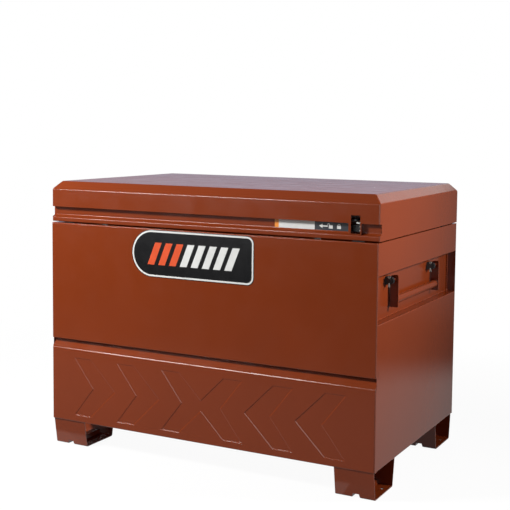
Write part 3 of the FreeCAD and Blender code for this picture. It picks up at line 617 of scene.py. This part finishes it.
class STORAGEBOX_OT_front_panel(bpy.types.Operator):
    """Make the upper front sheet, folded inwards over the groove"""
    bl_idname = "storage_box.front_panel"
    bl_label = "Front panel"

    def execute(self, context):
        sheet = context.scene.box_sheet
        low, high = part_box("front_upper_panel")
        piece = block("front_panel", low, high + Z * LIFT)
        turn = low.y + sheet.turn
        shape(piece)
        remove(piece, facing(Y))
        slice_at(piece, Y * turn, Y)
        remove(piece, lambda face: middle(face).y > turn and middle(face).z > low.z + LIFT)
        for side in (-1, 1):
            slice_at(piece, X * side * (high.x - sheet.turn), X * side,
                     lambda face: near(middle(face).z, low.z))
        remove(piece, lambda face: middle(face).y > turn and abs(middle(face).x) > high.x - sheet.turn)
        round_folds(piece, sheet)
        done()
        give_wall(piece, sheet.wall, sheet.edge)
        painted(piece, "chest", "front_upper_panel")
        return {"FINISHED"}


class STORAGEBOX_OT_kick_panel(bpy.types.Operator):
    """Make the lower front sheet with its sloping groove wall and pressed-in chevrons"""
    bl_idname = "storage_box.kick_panel"
    bl_label = "Kick panel"

    def press(self, piece, chevrons, front, base):
        """Splits the flat front along the chevrons' sides, then presses the chevrons in."""
        tip_z = base + chevrons.rise
        flat = lambda face: near(middle(face).y, front)
        for level in (-1, 0, 1):
            slice_at(piece, Z * (tip_z + level * chevrons.half_height), Z, flat)
        insides = []
        for index in range(chevrons.count):
            corner = chevrons.first + index * chevrons.pitch
            for side in (-1, 1):
                for half in (-1, 1):
                    insides.append((side, half, corner))
                    band = lambda face, half=half: (
                        flat(face) and 0 < half * (middle(face).z - tip_z) < chevrons.half_height)
                    for start, lean in ((corner, chevrons.run),
                                        (corner - chevrons.tip, chevrons.run + chevrons.tip - chevrons.arm)):
                        at = Vector((side * start, front, tip_z))
                        up = Vector((side * lean, 0, half * chevrons.half_height))
                        slice_at(piece, at, up.cross(Y), band)

        def pressed(face):
            """Whether a face lies within one of the chevrons."""
            centre = middle(face)
            for side, half, corner in insides:
                rise = half * (centre.z - tip_z) / chevrons.half_height
                out = side * centre.x - corner
                inner = chevrons.run * rise
                outer = -chevrons.tip + (chevrons.run + chevrons.tip - chevrons.arm) * rise
                if flat(face) and 0 < rise < 1 and outer < out < inner:
                    return True
            return False

        choose(piece, "faces", pressed)
        bpy.ops.mesh.inset(thickness=chevrons.slope, depth=-chevrons.depth, use_even_offset=True)

    def execute(self, context):
        sheet, chevrons = context.scene.box_sheet, context.scene.box_chevrons
        low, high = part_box("front_kick_panel")
        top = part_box("front_upper_panel")[0].z
        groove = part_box("front_upper_panel")[1].y
        ledge = low.z + KICK_HEIGHT
        turn = low.y + sheet.turn
        piece = block("kick_panel", low, (high.x, high.y, ledge))
        shape(piece)
        remove(piece, lambda face: facing(Y)(face) or facing(Z)(face))
        slice_at(piece, Y * turn, Y)
        remove(piece, lambda face: middle(face).y > turn and middle(face).z > low.z + LIFT)
        choose(piece, "edges", lambda edge: near(middle(edge).z, ledge) and near(middle(edge).y, low.y))
        for step in ((0, groove - low.y, top - ledge), (0, 0, high.z - top)):
            extrude(step)
        round_folds(piece, sheet, sheet.kick_bend)
        self.press(piece, chevrons, low.y, low.z)
        merge_flat(0.5)
        inner = high.x - 2 * sheet.bend
        round_edges(piece, lambda edge: folded(edge) and abs(middle(edge).x) < inner
                    and low.z + sheet.bend < middle(edge).z < ledge - 2 * sheet.soft_bend,
                    chevrons.rounding, 2)
        done()
        give_wall(piece, sheet.wall, sheet.edge)
        painted(piece, "chest", "front_kick_panel")
        return {"FINISHED"}


class STORAGEBOX_OT_end_panels(bpy.types.Operator):
    """Make both end sheets, folded round the full-depth handle recess"""
    bl_idname = "storage_box.end_panels"
    bl_label = "End panels"

    def execute(self, context):
        sheet = context.scene.box_sheet
        low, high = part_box("right_end_panel")
        bead_low, bead_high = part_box("recess_weld_beads")
        flange = high.x - FLANGE
        wall = bead_high.x - WELD_LEG
        line = [(flange, low.z), (high.x, low.z), (high.x, bead_low.z), (wall, bead_low.z),
                (wall, bead_high.z), (high.x, bead_high.z), (high.x, high.z)]
        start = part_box("front_upper_panel")[0].y + sheet.turn
        piece = folded_sheet("right_end_sheet", "Y", line, (start, high.y), sheet, (0, 0, -1))
        give_wall(piece, sheet.wall, sheet.edge)
        other = mirrored(piece, "left_end_sheet")
        painted(piece, "chest", "right_end_panel")
        painted(other, "chest", "left_end_panel")
        return {"FINISHED"}


class STORAGEBOX_OT_back_and_rims(bpy.types.Operator):
    """Round the folds of the back, the bottom and the rim channels"""
    bl_idname = "storage_box.back_and_rims"
    bl_label = "Back, bottom and rims"

    def execute(self, context):
        dress_each(("back_panel", "bottom_panel", "front_rim", "rear_rim", "right_end_rim", "left_end_rim",
                    "latch_keepers"), "paint", CUT_EDGE)
        dress("lid_rest_pads", "rubber", SOFT_EDGE, 3)
        return {"FINISHED"}


class STORAGEBOX_OT_feet(bpy.types.Operator):
    """Round the folds of the four channel feet and break their edges"""
    bl_idname = "storage_box.feet"
    bl_label = "Feet"

    def execute(self, context):
        sheet = context.scene.box_sheet
        for node in ("right_front_foot", "left_front_foot", "right_rear_foot", "left_rear_foot"):
            piece = merged_copy(node, node + "_folded")
            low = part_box(node)[0]
            shape(piece)
            along = lambda edge: near((edge.verts[0].co - edge.verts[1].co).yz.length, 0)
            # outer faces of the folds first, then the inner ones
            for level, radius in ((low.z, sheet.foot_bend),
                                  (low.z + sheet.foot, sheet.foot_bend - sheet.foot)):
                round_edges(piece, lambda edge: along(edge) and near(middle(edge).z, level)
                            and edge.calc_face_angle(0) > FOOT_FOLD, radius)
            done()
            soften(piece, THICK_EDGE)
            painted(piece, "chest", node)
        return {"FINISHED"}


class STORAGEBOX_OT_recess_welds(bpy.types.Operator):
    """Run rippled weld beads down the corners of the handle recesses"""
    bl_idname = "storage_box.recess_welds"
    bl_label = "Recess welds"

    def execute(self, context):
        sheet = context.scene.box_sheet
        low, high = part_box("recess_weld_beads")
        wall = high.x - WELD_LEG
        sink = WELD_SINK * sheet.weld
        beads = []
        length = high.z - low.z
        steps = int(length / sheet.weld_step)
        half = length / (2 * steps)
        for side in (-1, 1):
            for y in (low.y + sink, high.y - sink):
                bead = primitive("cylinder", "recess_beads", vertices=14, radius=sheet.weld, depth=length,
                                 location=(side * (wall + sink), y, (low.z + high.z) / 2))
                shape(bead)
                choose(bead, "edges", lambda edge: not near(edge.verts[0].co.z, edge.verts[1].co.z))
                bpy.ops.mesh.subdivide(number_cuts=2 * steps - 1)
                choose(bead, "verts", lambda v: round((v.co.z - low.z) / half) % 2 == 0
                       and low.z + half < v.co.z < high.z - half)
                bpy.ops.transform.shrink_fatten(value=-WELD_RIPPLE * sheet.weld)
                done()
                beads.append(bead)
        painted(join(beads), "chest", "recess_weld_beads")
        return {"FINISHED"}


# ---------------------------------------------------------------- lid and lock

class STORAGEBOX_OT_lid_shell(bpy.types.Operator):
    """Make the lid's skin and ends as one ground and painted shell"""
    bl_idname = "storage_box.lid_shell"
    bl_label = "Lid shell"

    def execute(self, context):
        sheet = context.scene.box_sheet
        low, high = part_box("right_lid_end")
        skin_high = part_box("lid_skin")[1]
        top, back = skin_high.z, skin_high.y
        channel_low, channel_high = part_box("lid_front_channel")
        house_low, house_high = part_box("lock_housing")
        lip = house_low.z
        face = channel_high.z - sheet.channel_tab
        front = channel_low.y
        recess = front + RECESS_DEPTH
        piece = block("lid_shell", (-high.x, front, low.z), (high.x, back, top))
        shape(piece)
        choose(piece, "faces", facing(Z))
        bpy.ops.mesh.inset(thickness=sheet.chamfer_run)
        choose(piece, "verts", lambda v: near(v.co.z, top) and (near(abs(v.co.x), high.x)
               or near(v.co.y, front) or near(v.co.y, back)))
        bpy.ops.transform.translate(value=(0, 0, -sheet.chamfer_drop))
        remove(piece, facing(-Z))
        round_edges(piece, lambda edge: len(edge.link_faces) == 2, sheet.soft_bend, 5)
        for level in (lip, face):
            slice_at(piece, Z * level, Z, lambda f: middle(f).y < recess + BEFORE_REAR)
        slice_at(piece, Y * recess, Y, lambda f: middle(f).z < top)
        remove(piece, lambda f: lip < middle(f).z < face and middle(f).y < recess)
        remove(piece, lambda f: middle(f).z < lip and facing(-Y, STRAIGHT)(f))
        window = (house_high.x - WINDOW_INSET - WINDOW_WIDTH, house_high.x - WINDOW_INSET)
        window_top = lip + WINDOW_RISE + WINDOW_HEIGHT
        forward = lambda f: near(middle(f).y, front) and middle(f).z > face
        for x in window:
            slice_at(piece, X * x, X, forward)
        slice_at(piece, Z * window_top, Z, forward)
        remove(piece, lambda f: forward(f) and window[0] < middle(f).x < window[1]
               and middle(f).z < window_top)
        # the face's lower edge turns in over the finger recess
        choose(piece, "edges", lambda edge: edge.is_boundary and near(middle(edge).z, face)
               and near(middle(edge).y, front) and not house_low.x < middle(edge).x < house_high.x)
        extrude((0, RECESS_DEPTH, 0))
        # and the ends turn in at the bottom, clear of the channel's flange
        inset = front + sheet.flange + FLANGE_GAP
        slice_at(piece, Y * inset, Y, lambda f: middle(f).z < face)
        for side in (-1, 1):
            choose(piece, "edges", lambda edge: edge.is_boundary and near(middle(edge).z, low.z)
                   and near(middle(edge).x, side * high.x) and middle(edge).y > inset)
            extrude((-side * sheet.flange, 0, 0))
        merge_flat(0.2, delimit={"NORMAL"})
        done()
        give_wall(piece, sheet.wall, sheet.edge)
        painted(piece, "lid", "lid_skin", "right_lid_end", "left_lid_end")
        return {"FINISHED"}


class STORAGEBOX_OT_lid_channel(bpy.types.Operator):
    """Make the finger recess and the lower lip across the front of the lid"""
    bl_idname = "storage_box.lid_channel"
    bl_label = "Finger recess"

    def execute(self, context):
        sheet = context.scene.box_sheet
        low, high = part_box("lid_front_channel")
        house_low, house_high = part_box("lock_housing")
        lip = house_low.z
        recess = low.y + RECESS_DEPTH
        line = [(recess, high.z), (recess, lip + sheet.ledge), (low.y, lip), (low.y, low.z),
                (low.y + sheet.flange, low.z)]
        piece = folded_sheet("finger_recess", "X", line, (low.x, high.x), sheet, (0, -1, 0),
                             sheet.ledge_bend)
        shape(piece)
        seam = lip - LIP_TUCK
        below = lambda f: middle(f).z < seam
        for side in (-1, 1):
            slice_at(piece, X * side * (high.x - sheet.bend), X * side, below, clear=True)
        above = lambda f: middle(f).z > seam
        for x in (house_low.x, house_high.x):
            slice_at(piece, X * x, X, above)
        slice_at(piece, Z * lip, Z)
        remove(piece, lambda f: house_low.x < middle(f).x < house_high.x and middle(f).z > lip)
        done()
        give_wall(piece, sheet.wall, sheet.edge)
        painted(piece, "lid", "lid_front_channel")
        return {"FINISHED"}


class STORAGEBOX_OT_lock(bpy.types.Operator):
    """Finish the lock housing, the hasp, the finger tab, the bar and its hooks"""
    bl_idname = "storage_box.lock"
    bl_label = "Lock and latch"

    def execute(self, context):
        dress("lock_housing", "paint", CUT_EDGE)
        # the hasp, the bar and its hooks are black enamel as painted shade for the dark inside of the lock
        # housing
        dress_each(("padlock_hasp", "latch_bar", "latch_hooks"), "enamel", STAMPED_EDGE, 3)
        tab = dress("latch_tab", None, STAMPED_EDGE, 3)
        inked(tab, "zinc", "enamel")
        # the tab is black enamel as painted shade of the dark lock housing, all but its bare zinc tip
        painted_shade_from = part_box("latch_tab")[0].y + ZINC_TIP_BEFORE_PAINTED_SHADE
        number_faces(tab, lambda at: 1 if at.y > painted_shade_from else 0)
        dress("latch_guides", "nylon", GUIDE_EDGE)
        dress("lid_stiffeners", "paint", CUT_EDGE)
        return {"FINISHED"}


# ---------------------------------------------------------------- handles and springs

class STORAGEBOX_OT_handles(bpy.types.Operator):
    """Make the drop handles: flat arms, welded grip, pivot blocks and pins"""
    bl_idname = "storage_box.handles"
    bl_label = "Drop handles"

    def ring(self, middle_x, y, level, radius):
        """Weld bead round the end of a grip, with ripples all the way round."""
        ring = primitive("torus", "ring", major_radius=radius - RING_SINK,
                         minor_radius=GRIP_WELD + RING_EXTRA, major_segments=72, minor_segments=10,
                         rotation=ALONG_Y, location=(middle_x, y, level))
        shape(ring)
        choose(ring, "verts", lambda v: round(36 * math.atan2(v.co.z - level, v.co.x - middle_x)
                                              / math.pi) % 3 == 0)
        bpy.ops.transform.shrink_fatten(value=-RING_RIPPLE)
        done()
        return ring

    def grip(self, side):
        """Round bar between the arms, with a rippled weld ring at each end."""
        node = side + "_handle_grip"
        low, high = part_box(node)
        centre = (low + high) / 2
        radius = (high.z - low.z) / 2 - GRIP_WELD
        bar = primitive("cylinder", side + "_grip", vertices=48, radius=radius, depth=high.y - low.y,
                        location=centre, rotation=ALONG_Y)
        rings = [self.ring(centre.x, y, centre.z, radius) for y in (low.y + GRIP_WELD, high.y - GRIP_WELD)]
        painted(join([bar] + rings), side + "_handle", node)

    def execute(self, context):
        for side in SIDES:
            dress(side + "_handle_arms", "paint", BAR_EDGE, 3)
            self.grip(side)
            dress(side + "_pivot_blocks", "nylon", BLOCK_EDGE, 4)
            pins = dress(side + "_pivot_pins", None, TURNED_EDGE, 3)
            # the pins are painted where they carry the arm, and black where they stand out of a block
            inked(pins, "paint", "nylon")
            caps = [PIN_CAP + min(v.co.y for v in pins.data.vertices if (v.co.y > 0) == back)
                    for back in (False, True)]
            shape(pins)
            for cap in caps:
                slice_at(pins, Y * cap, Y)
            done()
            number_faces(pins, lambda at: 1 if at.y < caps[at.y > 0] else 0)
        dress("pivot_rings", "enamel", GROUND_EDGE)
        dress_each(("pivot_block_screws", "split_pins"), "zinc", CUT_EDGE)
        return {"FINISHED"}


class STORAGEBOX_OT_springs(bpy.types.Operator):
    """Finish the gas springs, their brackets and their studs"""
    bl_idname = "storage_box.springs"
    bl_label = "Gas springs"

    def execute(self, context):
        for side in SIDES:
            dress(side + "_spring_cylinder", "enamel", SOFT_EDGE, 3)
            for end in ("lower", "upper"):
                dress(side + "_spring_" + end + "_socket", "nylon", TURNED_EDGE, 3)
            dress(side + "_spring_rod", "chrome", GROUND_EDGE)
        dress_each(("spring_body_brackets", "spring_lid_brackets"), "paint", THICK_EDGE)
        dress_each(("spring_body_studs", "spring_lid_studs"), "zinc", CUT_EDGE)
        return {"FINISHED"}


class STORAGEBOX_OT_hinge(bpy.types.Operator):
    """Give the hinge leaves and the hinge pin their paint and plating"""
    bl_idname = "storage_box.hinge"
    bl_label = "Hinge"

    def execute(self, context):
        dress_each(("hinge_body_leaf", "hinge_lid_leaf"), "paint", CUT_EDGE)
        dress("hinge_pin", "zinc", THICK_EDGE)
        return {"FINISHED"}


# ---------------------------------------------------------------- prints

class STORAGEBOX_OT_marker_plate(bpy.types.Operator):
    """Make the marker plate: dark field, pale border and plain slanted bars"""
    bl_idname = "storage_box.marker_plate"
    bl_label = "Marker plate"

    def bar(self, prints, left, bottom, front, ink):
        """One slanted bar, a block whose upper side is slid to the right."""
        piece = block("bar", (left, front, bottom),
                      (left + prints.bar, front + 2 * prints.ink, bottom + prints.bar_height))
        shape(piece)
        choose(piece, "verts", lambda v: v.co.z > bottom + prints.bar_height / 2)
        bpy.ops.transform.translate(value=(prints.bar_slant, 0, 0))
        done()
        return inked(piece, ink)

    def execute(self, context):
        prints = context.scene.box_prints
        low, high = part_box("marker_plate")
        plate = inked(merged_copy("marker_plate", "marker_print"), "black_ink", "pale_ink")
        shape(plate)
        choose(plate, "faces", facing(-Y))
        bpy.ops.mesh.inset(thickness=prints.margin)
        bpy.ops.mesh.inset(thickness=prints.border)
        rim = bmesh.from_edit_mesh(plate.data)
        inner_edges = {edge for face in rim.faces if face.select for edge in face.edges}
        for face in rim.faces:
            if not face.select and any(edge in inner_edges for edge in face.edges):
                face.material_index = 1
        bmesh.update_edit_mesh(plate.data)
        # the dark field lies an ink's height behind the border and the bars
        bpy.ops.transform.translate(value=(0, prints.ink, 0))
        done()
        soften(plate, PLATE_EDGE)
        bottom = (low.z + high.z - prints.bar_height) / 2
        bars = []
        for index in range(prints.bar_count):
            ink = "orange_ink" if index < prints.warm_bars else "pale_ink"
            left = low.x + prints.bar_start + index * prints.bar_pitch
            bars.append(self.bar(prints, left, bottom, low.y, ink))
        complete(join([plate] + bars), "chest", None, "marker_print", "marker_plate")
        return {"FINISHED"}


class STORAGEBOX_OT_lock_label(bpy.types.Operator):
    """Make the label strip in the finger recess, with plain arrow and padlock signs"""
    bl_idname = "storage_box.lock_label"
    bl_label = "Label strip"

    def arrow(self, prints, centre):
        """Arrow to the left: a shaft and a three-sided head."""
        ink, half = Y * prints.ink, prints.arrow / 2
        neck = centre.x - half + prints.arrow_height
        shaft = Vector((0, 0, prints.arrow_height / 6))
        start = Vector((neck + prints.arrow_height / 3, *centre.yz))
        body = block("shaft", start - ink - shaft, centre + X * half + ink + shaft)
        head = primitive("cylinder", "head", vertices=3, radius=prints.arrow_height / 1.5,
                         depth=2 * prints.ink, location=(neck, *centre.yz),
                         rotation=(math.pi / 2, -math.pi / 2, 0))
        return [body, head]

    def padlock(self, prints, centre, slid):
        """Padlock: a body, and half a ring that stands over it or beside it."""
        ink = Y * prints.ink
        half = Vector((prints.padlock / 2, 0, prints.padlock / 2.6))
        body = block("lock_body", centre - half - ink, centre + half + ink)
        crown = centre.z + half.z
        ring = primitive("torus", "lock_shackle", major_radius=prints.shackle,
                         minor_radius=prints.shackle / 3.6, major_segments=24, minor_segments=8,
                         rotation=ALONG_Y, location=(centre.x - slid, centre.y, crown))
        shape(ring)
        slice_at(ring, Z * crown, -Z, clear=True, fill=True)
        choose_all()
        bpy.ops.transform.resize(value=(1, 0.2, 1), center_override=(centre.x, centre.y, crown))
        done()
        return [body, ring]

    def execute(self, context):
        prints = context.scene.box_prints
        low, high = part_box("lock_label")
        strip = inked(block("label_strip", low, high), "pale_ink", "amber_ink", "grey_ink")
        shape(strip)
        first = low.x + prints.label_warm
        second = first + prints.label_pale
        for x in (first, second):
            slice_at(strip, X * x, X)
        done()
        number_faces(strip, lambda at: 1 if at.x < first else 2 if at.x > second else 0)
        level = (low.z + high.z) / 2
        place = Vector((second + prints.sign_pitch, low.y, level))
        signs = self.arrow(prints, place)
        drop = Z * prints.shackle / 2
        for slid in (prints.shackle * 2, 0):
            place = place + X * prints.sign_pitch
            signs += self.padlock(prints, place - drop, slid)
        for sign in signs:
            inked(sign, "pale_ink")
        complete(join([strip] + signs), "lid", None, "label_print", "lock_label")
        return {"FINISHED"}


class STORAGEBOX_OT_small_parts(bpy.types.Operator):
    """Give every CAD part that stays its own finish"""
    bl_idname = "storage_box.small_parts"
    bl_label = "Small parts"

    def execute(self, context):
        for node, part in NODES.items():
            if not part.hide_render:
                finish = finishes()[SLOT_FINISH[SLOTS[node]]]
                if not part.material_slots:
                    part.data.materials.append(finish)
                for place in part.material_slots:
                    place.material = finish
        return {"FINISHED"}


# ---------------------------------------------------------------- stage

WHITE, BLACK = (1, 1, 1, 1), (0, 0, 0, 1)
# share of the floor's look that is plain white, for the rays that see it directly: under the chest, far off
WHITE_SHARE, FAR_SHARE = 0.95, 1.0
# share of its light that the floor throws back up at the chest
BOUNCE = 0.35
# width of the floor in metres, and of the camera's frame in millimetres
FLOOR_WIDTH, SENSOR = 40, 36
# distances from the chest in metres between which the white share grows
NEAR_FLOOR, FAR_FLOOR = 1.0, 2.6
# heights above the floor in metres: where a screen's glow has died away, and between which its lower
# share grows to the whole
GLOW_TOP, SHARE_FOOT, SHARE_TOP = 0.12, 0.25, 0.5
# lamps: name, place, what it points at, width, watts, spread in degrees
LAMPS = (
    ("main", (-1.9, -2.1, 2.5), (-0.2, -0.4, 0.4), 0.6, 160, 180),
    ("front", (-0.6, -3.0, 2.2), (0.0, -0.4, 0.4), 1.2, 3, 180),
    ("end", (2.3, 0.45, 1.5), (0.61, -0.45, 0.86), 0.25, 12.4, 74),
    ("rear", (-0.5, 3.0, 0.85), (0.0, 0.38, 0.5), 0.8, 45, 180),
)
# upright screens: name, radius, foot, height, bearings of both ends in degrees from +X, strength,
# share of it below, and glow added at the floor
SCREENS = (
    ("dark", 3.6, 0, 1.2, 183, 272, 1, 0.25, 0), ("grey", 1.47, 0, 1.2, 10, 78, 1, 0.4, 1.6),
    ("card", 2.5, 0, 2.2, 85, 175, 1, 1, 0), ("softbox", 3.4, 1.2, 0.45, 226, 254, 36, 1, 0),
    ("strip", 3.5, 0.5, 1.6, 269, 302, 3.6, 1, 0), ("shade", 3.6, 1.9, 1.4, 183, 272, 1, 1, 0),
)
# level cards: name, place, width, depth
CARDS = (
    ("grey", (0, 0, 3.3), 7, 7), ("mat", (-0.5, -1.1, 0.002), 3.0, 1.35),
    ("dark", (-0.9, -2.7, 0.002), 3.2, 1.9), ("pale", (1.1, 0.6, 0.002), 1.2, 2.2),
)


class STORAGEBOX_OT_stage(bpy.types.Operator):
    """Make the floor, the soft studio light and the camera"""
    bl_idname = "storage_box.stage"
    bl_label = "Stage"

    def backdrop_material(self, colour):
        """Matt white paper that looks white, with a soft shadow under the chest."""
        made, tree, shader, place = new_material("backdrop_paper", Specular_IOR_Level=0)
        grain = add_node(tree, "TexNoise", {"Vector": place, "Scale": 40.0})
        rough = add_node(tree, "MapRange", {"Value": grain, "To Min": 0.9, "To Max": 1.0})
        seen = self.seen_directly(tree)
        paper = add_node(tree, "Mix", {0: seen, 6: rgba([BOUNCE * v for v in colour]), 7: rgba(colour)},
                         data_type="RGBA")
        feed(shader, {"Roughness": rough, "Base Color": paper.outputs[2]})
        white = add_node(tree, "Emission", {"Color": WHITE, "Strength": 1.0})
        distance = add_node(tree, "VectorMath", {0: place}, operation="LENGTH")
        white_share = add_node(tree, "MapRange", {
            "Value": distance.outputs["Value"], "From Min": NEAR_FLOOR, "From Max": FAR_FLOOR,
            "To Min": WHITE_SHARE, "To Max": FAR_SHARE})
        share = add_node(tree, "Math", {0: seen, 1: white_share}, operation="MULTIPLY")
        mixed = add_node(tree, "MixShader", {0: share, 1: shader, 2: white})
        feed(tree.nodes["Material Output"], {"Surface": mixed})
        return made

    def seen_directly(self, tree):
        """1 for camera, glossy and transmission rays, so that metal shows the same background."""
        path = add_node(tree, "LightPath")
        glossy = add_node(tree, "Math", {0: path.outputs["Is Camera Ray"],
                                         1: path.outputs["Is Glossy Ray"]}, operation="MAXIMUM")
        return add_node(tree, "Math", {0: glossy, 1: path.outputs["Is Transmission Ray"]},
                        operation="MAXIMUM")

    def gloss_only(self, card, colour, strength, low=1, glow=0):
        """Makes a card bright, and differently so near the floor, for nothing but gloss."""
        made, tree, shader, place = new_material(card.name, Base_Color=BLACK, Specular_IOR_Level=0,
                                                 Emission_Color=rgba(colour), Emission_Strength=strength)
        card.data.materials.append(made)
        card.visible_camera = card.visible_diffuse = False
        card.visible_shadow = card.visible_transmission = False
        if low == 1 and glow == 0:
            return
        level = add_node(tree, "SeparateXYZ", {0: place}).outputs["Z"]
        share = add_node(tree, "MapRange", {"Value": level, "From Min": SHARE_FOOT, "From Max": SHARE_TOP,
                                            "To Min": low * strength, "To Max": strength})
        foot = add_node(tree, "MapRange", {"Value": level, "From Max": GLOW_TOP, "To Min": glow,
                                           "To Max": 0.0}, interpolation_type="SMOOTHSTEP")
        both = add_node(tree, "Math", {0: share, 1: foot}, operation="ADD")
        feed(shader, {"Emission Strength": both})

    def screen(self, name, radius, foot, height, start, end, strength, low, glow, colour):
        """Upright round screen, from one bearing to another."""
        wall = primitive("circle", name, vertices=180, radius=radius, location=(0, 0, foot))
        shape(wall)
        choose(wall, "verts", lambda v: not start < math.degrees(math.atan2(v.co.y, v.co.x)) % 360 < end)
        bpy.ops.mesh.delete(type="VERT")
        choose_all()
        extrude((0, 0, height))
        done()
        self.gloss_only(wall, colour, strength, low, glow)

    def lamp(self, name, place, target, width, power, spread):
        """Square lamp whose light falls off towards its spread, and that gloss doesn't show."""
        lamp = bpy.data.lights.new(name, "AREA")
        lamp.size, lamp.energy, lamp.spread = width, power, math.radians(spread)
        held = bpy.data.objects.new(name, lamp)
        bpy.context.scene.collection.objects.link(held)
        held.visible_glossy = False
        held.location = place
        held.rotation_euler = (Vector(target) - Vector(place)).to_track_quat("-Z", "Y").to_euler()

    def execute(self, context):
        scene, stage = context.scene, context.scene.box_stage
        floor = primitive("plane", "floor", size=FLOOR_WIDTH)
        floor.data.materials.append(self.backdrop_material(stage.floor))
        world = bpy.data.worlds.new("studio")
        world.use_nodes = True
        scene.world = world
        tree = world.node_tree
        even = tree.nodes["Background"]
        feed(even, {"Color": WHITE, "Strength": stage.ambient})
        white = add_node(tree, "Background", {"Color": WHITE, "Strength": 1.0})
        mixed = add_node(tree, "MixShader", {0: self.seen_directly(tree), 1: even, 2: white})
        feed(tree.nodes["World Output"], {"Surface": mixed})
        for settings in LAMPS:
            self.lamp(*settings)
        for settings in SCREENS:
            self.screen(*settings, getattr(stage, settings[0]))
        for name, place, width, depth in CARDS:
            card = primitive("plane", name, size=1)
            card.dimensions = (width, depth, 0)
            card.location = place
            self.gloss_only(card, getattr(stage, name), 1)
        scene.view_settings.view_transform = "Standard"
        lens = bpy.data.cameras.new("camera")
        lens.sensor_width, lens.lens = SENSOR, stage.lens
        lens.shift_x, lens.shift_y = stage.shift
        camera = bpy.data.objects.new("camera", lens)
        scene.collection.objects.link(camera)
        camera.matrix_world = (Matrix.Translation(stage.place) @ Matrix.Rotation(stage.yaw, 4, "Z")
                               @ Matrix.Rotation(math.pi / 2 - stage.pitch, 4, "X")
                               @ Matrix.Rotation(stage.roll, 4, "Z"))
        scene.camera = camera
        return {"FINISHED"}


# ---------------------------------------------------------------- panel and run

STEPS = (
    STORAGEBOX_OT_stage, STORAGEBOX_OT_front_panel, STORAGEBOX_OT_kick_panel, STORAGEBOX_OT_end_panels,
    STORAGEBOX_OT_back_and_rims, STORAGEBOX_OT_feet, STORAGEBOX_OT_recess_welds, STORAGEBOX_OT_lid_shell,
    STORAGEBOX_OT_lid_channel, STORAGEBOX_OT_lock, STORAGEBOX_OT_handles, STORAGEBOX_OT_springs,
    STORAGEBOX_OT_hinge, STORAGEBOX_OT_marker_plate, STORAGEBOX_OT_lock_label, STORAGEBOX_OT_small_parts,
)


class STORAGEBOX_PT_panel(bpy.types.Panel):
    """Lists the steps that dress the storage box"""
    bl_idname = "STORAGEBOX_PT_panel"
    bl_label = "Storage box"
    bl_space_type = "VIEW_3D"
    bl_region_type = "UI"
    bl_category = "Storage box"

    def draw(self, context):
        for step in STEPS:
            self.layout.operator(step.bl_idname)


GROUPS = {"box_sheet": SheetSizes, "box_chevrons": ChevronSizes, "box_prints": PrintSizes,
          "box_colours": PaintColours, "box_stage": StageSettings}


def register():
    for name, group in GROUPS.items():
        bpy.utils.register_class(group)
        setattr(bpy.types.Scene, name, PointerProperty(type=group))
    for kind in (*STEPS, STORAGEBOX_PT_panel):
        bpy.utils.register_class(kind)


def unregister():
    for kind in reversed((*STEPS, STORAGEBOX_PT_panel)):
        bpy.utils.unregister_class(kind)
    for name, group in GROUPS.items():
        delattr(bpy.types.Scene, name)
        bpy.utils.unregister_class(group)


def main():
    register()
    for step in STEPS:
        group, name = step.bl_idname.split(".")
        getattr(getattr(bpy.ops, group), name)()


if __name__ == "__main__":
    main()
